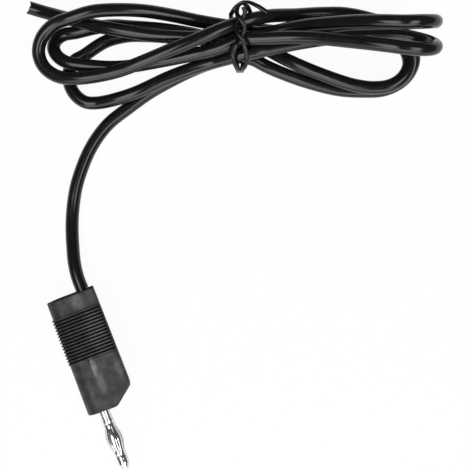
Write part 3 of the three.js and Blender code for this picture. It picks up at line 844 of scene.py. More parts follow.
@dataclass
class PlugHousing:
    """Two moulded halves with grip ribs. Places are from the pin's axis and the pin end."""

    length: float = 36.4
    pin_length: float = 18.8
    round_radius: float = 4.83
    round_radius_cord_end: float = 4.55
    flank_reach: float = 11.07
    flank_reach_cord_end: float = 10.83
    flank_corner: float = 0.3
    flank_lean: float = 1.1
    chamfer_across: float = 5.97
    chamfer_along: float = 4.75
    chamfer_blend: float = 0.35
    end_wall: float = 1.8
    pin_wall: float = 2.4
    rib_count: int = 15
    rib_pitch: float = 1.0
    crest: float = 5.05
    rib_foot: float = 0.66
    rib_top: float = 0.4
    groove_depth: float = 0.6
    # Heights over the parting plane, as shares of the half thickness, where a groove deepens.
    groove_side: tuple[float, float] = (0.15, 0.85)
    rib_end_inset: float = 0.45
    # Steps from an edge where the form beside it starts to rise and where it is full.
    rib_end_blur: tuple[float, float] = (0.08, -0.12)
    pad_blur: tuple[float, float] = (-0.22, 0.1)
    land_start_blur: tuple[float, float] = (-0.2, 0.0)
    land_stop_blur: tuple[float, float] = (0.1, -0.1)
    land_flank_blur: tuple[float, float] = (0.1, -0.3)
    first_rib_from_end: float = 6.1
    wedge_run: float = 11.1
    pad_offset: float = 1.8
    pin_end_round: float = 0.45
    cord_end_round: float = 0.22
    cord_end_lean: float = 0.7
    cord_end_lean_run: float = 1.5
    steps_per_rib: int = 12
    plain_step: float = 0.4
    overcut: float = 1.0
    bore: float = 3.4
    pin_hole: float = 1.78
    mouth: float = 2.7
    cord_offset: float = 6.95
    cord_hole: float = 2.15
    chamber: tuple[float, float, float] = (4.75, 9.15, 3.85)
    chamber_start: float = 4.1
    land_margin: float = 1.0
    seam: float = 0.03

    @property
    def middle(self) -> tuple[float, float]:
        """Place of the plug's middle, from the pin axis and the pin end."""
        return (self.flank_reach - self.crest) / 2, (self.length - self.pin_length) / 2

    @property
    def pin_axis(self) -> tuple[float, float]:
        """Place of the pin's axis in the row frame, in X and Z."""
        return -self.middle[0], self.crest

    def to_row(self, x: float, y: float, z: float) -> Point:
        """Turn a place on the plug into the row frame."""
        return x - self.middle[0], y - self.middle[1], z + self.crest

    def radius_at(self, y: float) -> float:
        """Half thickness along the housing, with the mould's draft."""
        return self.round_radius + (self.round_radius_cord_end - self.round_radius) * y / self.length

    def reach_at(self, y: float) -> float:
        """Pin axis to flank, with the draft and the corner cut off at the pin end.

        Args:
            y: Place along the housing.

        Returns:
            The distance in millimetres.
        """
        drafted = self.flank_reach + (self.flank_reach_cord_end - self.flank_reach) * y / self.length
        start = self.flank_reach - self.chamfer_across
        cut = start + max(0.0, y) * self.chamfer_across / self.chamfer_along
        blend = self.chamfer_blend
        gap = max(0.0, blend - abs(drafted - cut)) / blend
        return min(drafted, cut) - blend * gap * gap / 4

    def rise(self, x: float, y: float, side: float) -> float:
        """How far the surface stands proud of the plain body, below 0 in the grooves between ribs.

        Args:
            x: Place across the housing.
            y: Place along it.
            side: Height over the parting plane, above 0 on the front and below it on the back.

        Returns:
            The rise in millimetres.
        """
        proud = self.crest - self.radius_at(y)
        end = self.flank_reach_cord_end - self.rib_end_inset - (self.flank_lean if side < 0 else 0.0)
        within = blurred_edge(end, self.rib_end_blur, x)
        first = self.length - self.first_rib_from_end
        last = first - (self.rib_count - 1) * self.rib_pitch
        index = min(self.rib_count - 1, max(0, round((first - y) / self.rib_pitch)))
        away = abs(y - (first - index * self.rib_pitch))
        half = self.rib_pitch / 2
        if last - half < y < first + half:
            ridge = smooth_step(self.rib_foot / 2, self.rib_top / 2, away)
            steep = smooth_step(*self.groove_side, abs(side) / self.radius_at(y))
            low = -self.groove_depth * steep if last < y < first else 0.0
            if side < 0 and x > self.pad_offset:
                low = proud
            return within * (ridge * (proud - low) + low)
        beside = blurred_edge(self.pad_offset, self.pad_blur, x) * within
        if side > 0:
            slope = (y - (last - half - self.wedge_run)) / self.wedge_run
            return proud * beside * (max(0.0, slope) if y <= last - half else 0.0)
        start = self.land_margin + self.chamfer_along
        stop = self.length - self.land_margin
        along = blurred_edge(start, self.land_start_blur, y) * blurred_edge(stop, self.land_stop_blur, y)
        return proud * beside * along * blurred_edge(end, self.land_flank_blur, x)

    def outline(self, y: float, inset: float) -> list[Point]:
        """Section of the housing, clockwise seen from the pin end.

        Args:
            y: Place along the housing.
            inset: How far the section shrinks where the end is rounded.

        Returns:
            The section's corners in the row frame.
        """
        radius = self.radius_at(y) - inset
        reach = self.reach_at(y) - inset
        inner = reach - self.flank_corner
        rear = inner - self.flank_lean
        base: list[tuple[float, float, float, float]] = []
        arc, flat, corner, flank = 44, 26, 6, 8
        for step in range(arc + 1):
            angle = -math.pi / 2 - math.pi * step / arc
            out_x, out_z = math.cos(angle), math.sin(angle)
            base.append((radius * out_x, radius * out_z, out_x, out_z))
        for step in range(1, flat + 1):
            base.append((inner * step / flat, radius, 0, 1))
        for step in range(1, corner + 1):
            angle = math.pi / 2 * (1 - step / corner)
            x = inner + self.flank_corner * math.cos(angle)
            base.append((x, radius - self.flank_corner * (1 - math.sin(angle)), 0, 0))
        span = radius - self.flank_corner
        for step in range(1, flank + 1):
            share = 1 - 2 * step / flank
            base.append((reach - self.flank_lean * (1 - share) / 2, span * share, 0, 0))
        for step in range(1, corner + 1):
            angle = -math.pi / 2 * step / corner
            x = rear + self.flank_corner * math.cos(angle)
            base.append((x, -radius + self.flank_corner * (1 + math.sin(angle)), 0, 0))
        for step in range(1, flat):
            base.append((rear * (1 - step / flat), -radius, 0, -1))
        near_end = smooth_step(self.length - self.cord_end_lean_run, self.length, y)
        result = []
        for x, z, out_x, out_z in base:
            rise = self.rise(x, y, z) if out_x or out_z else 0.0
            back = self.cord_end_lean * near_end * (0.5 + z / (2 * self.crest))
            result.append(self.to_row(x + out_x * rise, y - back, z + out_z * rise))
        return result

    def stations(self) -> list[tuple[float, float]]:
        """Places along the housing where it has a section, closer together at the ribs.

        Returns:
            Each place, with how far the end's rounding shrinks the section there.
        """
        result = []
        end_steps = 4
        for end, size, sign in ((0.0, self.pin_end_round, 1), (self.length, self.cord_end_round, -1)):
            for step in range(end_steps + 1):
                angle = math.pi / 2 * step / end_steps
                inset = size * (1 - math.sin(angle))
                result.append((end + sign * size * (1 - math.cos(angle)), inset))
        low, high = self.pin_end_round, self.length - self.cord_end_round
        first = self.length - self.first_rib_from_end
        last = first - (self.rib_count - 1) * self.rib_pitch
        y = low + self.plain_step / 2
        while y < high - self.plain_step / 4:
            result.append((y, 0.0))
            near_ribs = last - self.rib_pitch < y < first + self.rib_pitch
            y += self.rib_pitch / self.steps_per_rib if near_ribs else self.plain_step
        return sorted(result)

    def blank(self) -> Piece:
        """Make the outside of both halves as one closed mesh.

        Returns:
            The mesh as an object.
        """
        rings = [self.outline(y, inset) for y, inset in self.stations()]
        sides = len(rings[0])
        faces: list[list[int]] = [list(range(sides))]
        for ring in range(len(rings) - 1):
            for side in range(sides):
                a, b = ring * sides + side, ring * sides + (side + 1) % sides
                faces.append([b, a, a + sides, b + sides])
        faces.append([(len(rings) - 1) * sides + side for side in reversed(range(sides))])
        return new_piece("housing_blank", [c for ring in rings for c in ring], faces)

    def hollow_tools(self) -> Iterable[Piece]:
        """Make the cutters of the bore, the cord's chamber and the openings in both ends.

        Returns:
            The cutters, each made when the one before it has been used up.
        """
        x0, y0 = self.pin_axis[0], -self.middle[1]
        end = self.length + y0
        inner_end, beyond = end - self.end_wall, self.overcut
        cord = (x0 + self.cord_offset, self.crest)
        yield bar_tool(self.bore, y0 + self.pin_wall, inner_end, self.pin_axis)
        yield bar_tool(self.pin_hole, y0 - beyond, y0 + self.pin_wall + beyond, self.pin_axis)
        yield bar_tool(self.mouth, inner_end - beyond, end + beyond, self.pin_axis)
        left, right, height = self.chamber
        low = (x0 + left, y0 + self.chamber_start, self.crest - height)
        yield box_tool(low, (x0 + right, inner_end, self.crest + height))
        yield bar_tool(self.cord_hole, inner_end - beyond, end + beyond, cord)

    def half(self, side: Side, material: Material) -> Piece:
        """Make one half of the housing.

        Args:
            side: Which half.
            material: Its plastic.

        Returns:
            The finished half.
        """
        name = "housing_front" if side is Side.FRONT else "housing_rear"
        piece = self.blank()
        piece.name = piece.data.name = name
        far = 60.0
        edge = self.crest + side.value * self.seam
        low, high = (edge, edge + far) if side is Side.FRONT else (edge - far, edge)
        carve(piece, box_tool((-far, -far, low), (far, far, high)), CutTool.KEEP_COMMON)
        for tool in self.hollow_tools():
            carve(piece, tool, CutTool.TAKE_AWAY)
        piece.data.materials.clear()
        piece.data.materials.append(material)
        return soften(piece)


@dataclass
class ContactPin:
    """Turned pin, the sprung cage that turns on it, its nose and the socket behind."""

    axis: tuple[float, float]
    end_face: float
    shank: float = 3.2
    shank_radius: float = 1.7
    # Where the fine groove round the shank is, from the housing, and how deep.
    shank_groove: float = 2.65
    shank_groove_depth: float = 0.09
    # Half widths of a fine groove, at its top and at its floor.
    groove_halves: tuple[float, float] = (0.1, 0.05)
    collar: float = 2.3
    collar_edge: float = 0.06
    # Half width and depth of the fine groove round a collar.
    collar_groove: tuple[float, float] = (0.07, 0.04)
    leaf: float = 7.55
    # How far a leaf runs into each collar.
    leaf_overlap: float = 0.35
    leaf_edge: float = 0.05
    leaf_wall_share: float = 0.8
    bow_power: float = 1.2
    end_collar: float = 2.8
    nose: float = 1.55
    nose_edge: float = 0.14
    nose_shoulder: tuple[float, float] = (0.1, 0.2)
    tip: float = 1.4
    tip_radius: float = 1.0
    # Radii of the staked dimple's floor and rim, as shares of the tip, and its depths.
    dimple_shares: tuple[float, float] = (0.45, 0.62)
    dimple_depths: tuple[float, float] = (0.25, 0.2)
    nose_radius: float = 1.73
    cage_radius: float = 1.78
    wall: float = 0.3
    bulge: float = 2.52
    leaf_count: int = 8
    leaf_degrees: float = 36.0
    gap: float = 0.08
    turned_edge: float = 0.1
    flange: tuple[float, float] = (3.1, 1.5)
    flange_start: float = 2.5
    rear: tuple[float, float] = (2.4, 6.2)
    stem: tuple[float, float] = (1.2, 2.4)
    sleeve_radius: float = 2.95
    socket_bore: float = 2.03
    # Width and length of the lead-in at the socket's mouth.
    lead_in: tuple[float, float] = (0.25, 0.3)
    drill_point: float = 0.6
    socket_end: float = 34.5
    socket_depth: float = 19.5

    @property
    def cage_start(self) -> float:
        """Where the cage starts, from the housing's pin end."""
        return -self.shank - self.gap

    @property
    def cage_end(self) -> float:
        """Where the cage ends."""
        return self.cage_start - self.collar - self.leaf - self.end_collar

    def shift(self, profile: Profile) -> Profile:
        """Move a profile from the housing's pin end to the row frame."""
        return [(radius, y + self.end_face) for radius, y in profile]

    def core(self, material: Material) -> Piece:
        """Make the turned pin with its flange and rear stem.

        Args:
            material: Its plating.

        Returns:
            The pin.
        """
        rod = self.cage_radius - self.wall - self.gap * 1.5
        nose_start = self.cage_end - self.gap
        flange_end = self.flange_start + self.flange[1]
        rear_end = flange_end + self.rear[1]
        groove, groove_radius = -self.shank_groove, self.shank_radius - self.shank_groove_depth
        top, floor = self.groove_halves
        profile = eased(
            [
                (0, nose_start),
                (rod, nose_start),
                (rod, -self.shank),
                (self.shank_radius, -self.shank),
                (self.shank_radius, groove - top),
                (groove_radius, groove - floor),
                (groove_radius, groove + floor),
                (self.shank_radius, groove + top),
                (self.shank_radius, self.flange_start),
                (self.flange[0], self.flange_start),
                (self.flange[0], flange_end),
                (self.rear[0], flange_end),
                (self.rear[0], rear_end),
                (self.stem[0], rear_end),
                (self.stem[0], rear_end + self.stem[1]),
                (0, rear_end + self.stem[1]),
            ],
            self.turned_edge,
        )
        piece = turned("turned_pin", self.shift(profile), self.axis)
        piece.data.materials.append(material)
        return soften(piece)

    def nose_cap(self, material: Material) -> Piece:
        """Make the nose, tapered to a small flat tip with a staked dimple.

        Args:
            material: Its plating.

        Returns:
            The nose.
        """
        start = self.cage_end - self.gap
        neck = start - self.nose
        end = neck - self.tip
        floor, rim = (self.tip_radius * share for share in self.dimple_shares)
        deepest, deep = self.dimple_depths
        profile = eased(
            [
                (0, end + deepest),
                (floor, end + deep),
                (rim, end),
                (self.tip_radius, end),
                (self.nose_radius - self.nose_shoulder[0], neck),
                (self.nose_radius, neck + self.nose_shoulder[1]),
                (self.nose_radius, start),
                (0, start),
            ],
            self.nose_edge,
        )
        piece = turned("pin_nose_cap", self.shift(profile), self.axis)
        piece.data.materials.append(material)
        return soften(piece)

    def leaf_strip(self) -> Piece:
        """Make one sprung leaf: a bowed strip, curved across to the cage's roundness.

        Returns:
            The leaf above the Y axis.
        """
        lengthwise, crosswise = 28, 8
        half = math.radians(self.leaf_degrees) / 2
        corners: list[Point] = []
        overlap = self.leaf_overlap
        for step in range(lengthwise + 1):
            share = step / lengthwise
            y = self.cage_start - self.collar + overlap - (self.leaf + 2 * overlap) * share
            inside = min(1.0, max(0.0, (self.cage_start - self.collar - y) / self.leaf))
            rise = (self.bulge - self.cage_radius) * math.sin(math.pi * inside) ** self.bow_power
            for inset in (0.0, self.wall):
                for turn in range(crosswise + 1):
                    angle = half * (2 * turn / crosswise - 1)
                    edge = self.leaf_edge if turn in (0, crosswise) and inset == 0 else 0.0
                    radius = self.cage_radius + rise - inset * self.leaf_wall_share - edge
                    corners.append((radius * math.sin(angle), y + self.end_face, radius * math.cos(angle)))
        row = 2 * (crosswise + 1)
        faces = []
        for step in range(lengthwise):
            a, b = step * row, (step + 1) * row
            for turn in range(crosswise):
                faces.append([a + turn, a + turn + 1, b + turn + 1, b + turn])
                low, high = a + crosswise + 1 + turn, b + crosswise + 1 + turn
                faces.append([low + 1, low, high, high + 1])
            for left in (True, False):
                k = 0 if left else crosswise
                edge = [a + k, b + k, b + k + crosswise + 1, a + k + crosswise + 1]
                faces.append(edge if left else edge[::-1])
        for start, flip in ((0, False), (lengthwise * row, True)):
            cap = [start + t for t in range(crosswise + 1)]
            cap += [start + crosswise + 1 + t for t in reversed(range(crosswise + 1))]
            faces.append(cap if flip else cap[::-1])
        return new_piece("leaf_strip", corners, faces)

    def ring_of_leaves(self, strip: Piece, material: Material) -> Piece:
        """Repeat the leaf round the pin's axis with Geometry Nodes.

        Args:
            strip: One leaf, about the Y axis.
            material: Plating of the leaves.

        Returns:
            The ring of leaves as a plain mesh at the pin's axis.
        """
        tree = new_geometry_tree(
            "leaves_round_pin",
            {"Leaf count": "Int", "Axis across": "Float", "Axis height": "Float", "Plating": "Material"},
        )
        given = add_node(tree, "NodeGroupInput")
        whole = add_node(tree, "GeometryNodeGeometryToInstance", None, {0: given.outputs["Geometry"]})
        copies = add_node(
            tree,
            "GeometryNodeDuplicateElements",
            {"domain": "INSTANCE"},
            {"Geometry": whole.outputs[0], "Amount": given.outputs["Leaf count"]},
        )
        step = add_node(
            tree, "ShaderNodeMath", {"operation": "DIVIDE", 0: 2 * math.pi}, {1: given.outputs["Leaf count"]}
        )
        angle = add_node(
            tree,
            "ShaderNodeMath",
            {"operation": "MULTIPLY"},
            {0: copies.outputs["Duplicate Index"], 1: step.outputs[0]},
        )
        turn = add_node(tree, "ShaderNodeCombineXYZ", None, {"Y": angle.outputs[0]})
        turned_copies = add_node(
            tree,
            "GeometryNodeRotateInstances",
            {"Local Space": False},
            {"Instances": copies.outputs["Geometry"], "Rotation": turn.outputs[0]},
        )
        place = add_node(
            tree,
            "ShaderNodeCombineXYZ",
            None,
            {"X": given.outputs["Axis across"], "Z": given.outputs["Axis height"]},
        )
        moved = add_node(
            tree,
            "GeometryNodeTranslateInstances",
            {"Local Space": False},
            {"Instances": turned_copies.outputs[0], "Translation": place.outputs[0]},
        )
        solid = add_node(tree, "GeometryNodeRealizeInstances", None, {0: moved.outputs[0]})
        plated = add_node(
            tree,
            "GeometryNodeSetMaterial",
            None,
            {"Geometry": solid.outputs[0], "Material": given.outputs["Plating"]},
        )
        add_node(tree, "NodeGroupOutput", None, {0: plated.outputs[0]})
        axis_across, axis_height = self.axis
        values = {
            "Leaf count": self.leaf_count,
            "Axis across": axis_across * MM,
            "Axis height": axis_height * MM,
            "Plating": material,
        }
        return run_tree(strip, tree, values)

    def cage_collar(self, high: float, low: float) -> Profile:
        """Profile of one collar of the cage, with a rolled edge and a fine groove.

        Args:
            high: Where the collar ends on the housing's side.
            low: Where it ends on the nose's side.

        Returns:
            The profile, closed on itself.
        """
        inner = self.cage_radius - self.wall
        outer, edge = self.cage_radius, self.collar_edge
        half_width, depth = self.collar_groove
        middle = (high + low) / 2
        return [
            (inner, low),
            (outer - edge, low),
            (outer, low + edge),
            (outer, middle - half_width),
            (outer - depth, middle),
            (outer, middle + half_width),
            (outer, high - edge),
            (outer - edge, high),
            (inner, high),
        ]

    def cage(self, material: Material) -> Piece:
        """Make the cage: two collars and the leaves between them.

        Args:
            material: Its plating.

        Returns:
            The cage.
        """
        leaves = self.ring_of_leaves(self.leaf_strip(), material)
        collars = [
            self.cage_collar(self.cage_start, self.cage_start - self.collar),
            self.cage_collar(self.cage_end + self.end_collar, self.cage_end),
        ]
        parts = [leaves]
        for profile in collars:
            parts.append(turned("cage_collar", self.shift(profile), self.axis))
            parts[-1].data.materials.append(material)
        with bpy.context.temp_override(active_object=leaves, selected_editable_objects=parts):
            bpy.ops.object.join()
        leaves.name = leaves.data.name = "sprung_cage"
        return soften(leaves, crease_degrees=40)

    def socket(self, material: Material) -> Piece:
        """Make the stacking socket's sleeve, with a lead-in at its mouth.

        Args:
            material: Its plating.

        Returns:
            The sleeve.
        """
        edge = self.turned_edge
        start = self.flange_start + self.flange[1] + self.rear[1] + edge
        floor = self.socket_end - self.socket_depth
        stem = self.stem[0] + self.gap
        stem_end = start + self.stem[1]
        profile = [
            (stem, start),
            (self.sleeve_radius - edge, start),
            (self.sleeve_radius, start + edge),
            (self.sleeve_radius, self.socket_end - edge),
            (self.sleeve_radius - edge, self.socket_end),
            (self.socket_bore + self.lead_in[0], self.socket_end),
            (self.socket_bore, self.socket_end - self.lead_in[1]),
            (self.socket_bore, floor),
            (0, floor - self.drill_point),
        ]
        closing = [(0, stem_end), (stem, stem_end)]
        piece = turned("socket_tube", self.shift([*closing, *profile]), self.axis, sides=72)
        piece.data.materials.append(material)
        return soften(piece)


# ---------------------------------------------------------------- cord


@dataclass
class CordRoute:
    """Centreline of the cord, in millimetres from the middle of the hank's waist."""

    tie_at: tuple[float, float] = (75.065, 80.0)
    lay_turn: float = 20.92
    radius: float = 2.0
    turn_steps: int = 6
    free_lead: list = field(
        default_factory=lambda: [
            [-50.2, -66.2, 4.6],
            [-50.8, -61.5, 3.6],
            [-51.2, -55.5, 2.6],
            [-51.0, -49.8, 2.1],
            [-50.0, -43.3, 2.1],
            [-48.1, -37.2, 2.1],
            [-46.0, -32.3, 2.1],
            [-43.2, -27.7, 2.1],
            [-39.8, -23.7, 2.1],
            [-34.2, -19.3, 2.1],
            [-27.5, -14.5, 2.1],
            [-18.2, -9.4, 2.1],
        ]
    )
    lead_joint: tuple = ([-12.2, -6.7, 2.1], [-4.2, -4.1, 3.3])
    waist: list = field(
        default_factory=lambda: [
            [0, -3.9, 3.6],
            [0, 4.4, 13.8],
            [0, 5.2, 3.6],
            [0, 0.7, 3.6],
            [0, -4.7, 10.9],
            [0, -0.4, 13.5],
            [0, -1.6, 7.6],
            [0, 2.9, 9.2],
        ]
    )
    bights: list = field(
        default_factory=lambda: [
            (
                [[4, -4.6, 3.3], [8, -6.5, 2.4], [13, -8.6, 2.1], [21, -11.4, 2.1], [30, -13.6, 2.1]],
                [[37, -14.1, 2.2], [53, -5.1, 2.4], [40, 7.5, 3.9]],
                [[32, 9.1, 4.2], [24, 9, 4.9], [17, 8.2, 6.7], [9, 7, 10.8], [3.6, 5.5, 13.2]],
            ),
            (
                [[-4, 2.7, 15.2], [-9, 0.5, 16], [-18, -3.1, 15.8], [-29, -7.3, 13.7], [-36, -9.5, 11.7],
                 [-42.5, -10.7, 10.2]],
                [[-49, -11.2, 8.9], [-60.5, -3.3, 7.2], [-49.8, 6.4, 11.2]],
                [[-44, 8, 11.8], [-38, 8.7, 11.1], [-29, 8.9, 9.1], [-20, 8.1, 6.1], [-13, 7, 4.2],
                 [-4, 5.6, 3.6]],
            ),
            (
                [[4, 4.8, 3.4], [8, 4.3, 2.7], [14, 3.9, 2.2], [22, 3.6, 2.1], [29, 3.5, 2.3],
                 [36, 3.1, 3.6]],
                [[42, 2.2, 5.1], [50.8, -6.6, 6.9], [40.3, -13.7, 6.9]],
                [[34, -12.8, 6.5], [24, -9.4, 6.1], [17, -6.4, 5.6], [13, -4.2, 4], [8, -1.3, 2.4],
                 [4, 0.2, 3.2]],
            ),
            (
                [[-4, 1, 3.3], [-8.5, 1.6, 2.2], [-15, 2, 2.1], [-22, 2.5, 2.1], [-28, 2.9, 2.1],
                 [-34.5, 2.8, 2.1], [-41, 1.1, 2.1]],
                [[-47.7, -3.2, 2.2], [-52, -11.9, 2.2], [-43.6, -17.8, 3.2]],
                [[-37, -16.8, 5.3], [-31, -15, 6.5], [-21, -10.4, 6.6], [-12, -7.2, 6.9],
                 [-8, -6.2, 7.6], [-3.6, -5.4, 9.5]],
            ),
            (
                [[4, -3.9, 11.4], [8, -3.1, 11.1], [18, -1, 10.9], [31, 0.6, 11.9], [38.5, 0.7, 12.9]],
                [[47, 0.5, 14.1], [56, -3.9, 20.9], [46, -5.5, 27.1]],
                [[41, -4.7, 26.4], [32, -3, 23.1], [22, -1.2, 19], [14, -0.5, 16.4], [7, -0.5, 15],
                 [3.6, -0.5, 14.4]],
            ),
            (
                [[-3.6, -1.9, 12.9], [-8, -3.3, 11.9], [-13.5, -4.3, 10.3], [-24, -6, 8.4],
                 [-33.5, -7.4, 7.3], [-40, -7.6, 7]],
                [[-48.3, -6.8, 6.8], [-56.5, -1.4, 4.4], [-50.2, 3.8, 2.2]],
                [[-44.5, 5, 3], [-39, 5.2, 5.3], [-33, 4.7, 6.3], [-22, 3.7, 6.5], [-11, 1.6, 6.6],
                 [-7.5, -0.1, 6.8], [-4, -1.2, 7.4]],
            ),
            (
                [[3.8, -1.7, 7.4], [8, -1, 7.1], [13, 0, 6.9], [21, 1.5, 6.5], [29, 3.1, 6.9],
                 [35.5, 4.3, 8.1], [41.5, 4.8, 9.9]],
                [[47.4, 4.8, 11.3], [56.2, 3.4, 19.9], [46, 1.7, 27.2]],
                [[39.5, 2.2, 25.5], [33, 2.9, 21.9], [27, 3.2, 18.5], [20, 3.3, 15], [14, 2.8, 12.4],
                 [10, 2.2, 11.1], [6.6, 2, 10.2], [3.5, 2.4, 9.4]],
            ),
        ]
    )
    tail_joint: tuple = ([-5.2, 1.9, 10.9], [-13.4, 0.5, 11.6])
    free_tail: list = field(
        default_factory=lambda: [
            [-20, 0.8, 11.2],
            [-27, 1.4, 10.8],
            [-37, 3.1, 10.1],
            [-43, 4.5, 8.6],
            [-50, 6.8, 5.8],
            [-56.5, 9, 3.2],
            [-60.6, 10.3, 2.2],
            [-64.5, 11.5, 2.1],
        ]
    )

    def from_waist(self, point: Sequence[float]) -> Vector:
        """Turn a place in the hank into the row frame."""
        turned_point = Quaternion((0, 0, 1), -math.radians(self.lay_turn)) @ Vector(point)
        return turned_point + Vector((*self.tie_at, 0))

    def half_turn(self, start: Sequence[float], tip: Sequence[float], end: Sequence[float]) -> list[Vector]:
        """Half an ellipse that passes through three points.

        Args:
            start: Where it starts.
            tip: Its farthest point.
            end: Where it ends.

        Returns:
            Points along it, from its start to its end.
        """
        middle = (Vector(start) + Vector(end)) / 2
        along, across = Vector(end) - middle, Vector(tip) - middle
        angles = [math.pi * step / self.turn_steps for step in range(self.turn_steps + 1)]
        return [middle - along * math.cos(angle) + across * math.sin(angle) for angle in angles]

    def points(self, exit_point: Vector) -> list[Vector]:
        """List the points that the whole cord follows, from the plug to its cut end.

        Args:
            exit_point: Where the cord leaves the plug, in the row frame.

        Returns:
            The points in the row frame.
        """
        laid = [*self.free_lead, self.lead_joint[0]]
        laid.append(list((Vector(self.lead_joint[0]) + Vector(self.lead_joint[1])) / 2))
        laid.append(self.lead_joint[1])
        for start, (out, turn, back) in zip(self.waist, self.bights):
            laid += [start, *out, *self.half_turn(*turn), *back]
        laid += [self.waist[-1], self.tail_joint[0]]
        laid.append(list((Vector(self.tail_joint[0]) + Vector(self.tail_joint[1])) / 2))
        laid += [self.tail_joint[1], *self.free_tail]
        straight = exit_point + Vector((0, 2 * self.radius, 0))
        return [exit_point, straight, *(self.from_waist(p) for p in laid)]


def centripetal(points: Sequence[Vector], step: float) -> list[Vector]:
    """Sample a centripetal Catmull-Rom curve.

    Args:
        points: Points that the curve passes through.
        step: Distance between samples, in the points' unit.

    Returns:
        The samples, from the first point to the last.
    """
    ends = [2 * points[0] - points[1], *points, 2 * points[-1] - points[-2]]
    samples: list[Vector] = []
    for i in range(1, len(ends) - 2):
        p0, p1, p2, p3 = ends[i - 1 : i + 3]
        t1 = (p1 - p0).length ** 0.5
        t2 = t1 + (p2 - p1).length ** 0.5
        t3 = t2 + (p3 - p2).length ** 0.5
        count = max(2, round((p2 - p1).length / step))
        for k in range(count):
            t = t1 + (t2 - t1) * k / count
            a1 = p0.lerp(p1, t / t1)
            a2 = p1.lerp(p2, (t - t1) / (t2 - t1))
            a3 = p2.lerp(p3, (t - t2) / (t3 - t2))
            b1 = a1.lerp(a2, t / t2)
            b2 = a2.lerp(a3, (t - t1) / (t3 - t1))
            samples.append(b1.lerp(b2, (t - t1) / (t2 - t1)))
    samples.append(points[-1].copy())
    return samples


def tube(
    name: str,
    line: Sequence[Vector],
    radius: float,
    sides: int,
    end_shape: Callable[[float, float], float] | None = None,
) -> Piece:
    """Draw a round tube along a line, with a UV map that runs round and along it.

    Args:
        name: Name of the piece.
        line: Centreline in millimetres.
        radius: Radius in millimetres.
        sides: Facets round it.
        end_shape: How far the last ring moves along the line, from its level and upright shares.

    Returns:
        The closed tube.
    """
    corners: list[Vector] = []
    faces: list[list[int]] = []
    lengths: list[float] = []
    run = 0.0
    normal = Vector((0, 0, 1))
    frames: list[tuple[Vector, Vector, Vector]] = []
    for index, point in enumerate(line):
        ahead = (line[min(index + 1, len(line) - 1)] - line[max(index - 1, 0)]).normalized()
        normal = (normal - ahead * normal.dot(ahead)).normalized()
        frames.append((ahead, normal, ahead.cross(normal)))
        run += (point - line[index - 1]).length if index else 0.0
        lengths.append(run)
    for index, (point, (ahead, up, side_way)) in enumerate(zip(line, frames)):
        level = ahead.cross(Vector((0, 0, 1))).normalized()
        for side in range(sides):
            angle = 2 * math.pi * side / sides
            offset = up * (radius * math.cos(angle)) + side_way * (radius * math.sin(angle))
            share = max(0.0, 1 - (lengths[-1] - lengths[index]) / radius)
            if end_shape and share:
                across, above = offset.dot(level) / radius, offset.z / radius
                offset = offset + ahead * end_shape(across, above) * share
            corners.append(point + offset)
    for index in range(len(line) - 1):
        for side in range(sides):
            a, b = index * sides + side, index * sides + (side + 1) % sides
            faces.append([a, b, b + sides, a + sides])
    ahead, up, side_way = frames[-1]
    level = ahead.cross(Vector((0, 0, 1))).normalized()
    previous = [(len(line) - 1) * sides + side for side in range(sides)]
    end_ring_shares = (0.8, 0.6, 0.45, 0.3)
    for share in end_ring_shares:
        ring = []
        for side in range(sides):
            angle = 2 * math.pi * side / sides
            offset = up * math.cos(angle) + side_way * math.sin(angle)
            offset *= radius * share
            along = end_shape(offset.dot(level) / radius, offset.z / radius) if end_shape else 0.0
            ring.append(len(corners))
            corners.append(line[-1] + offset + ahead * along)
        for side in range(sides):
            after = (side + 1) % sides
            faces.append([previous[side], previous[after], ring[after], ring[side]])
        previous = ring
    faces.append(previous)
    faces.append(list(reversed(range(sides))))
    piece = new_piece(name, corners, faces)
    layer = piece.data.uv_layers.new(name="round_and_along")
    rings = len(line)
    for loop in piece.data.loops:
        ring, side = divmod(loop.vertex_index, sides)
        layer.data[loop.index].uv = (side / sides, lengths[min(ring, rings - 1)] / (2 * math.pi * radius))
    return soften(piece, crease_degrees=50)


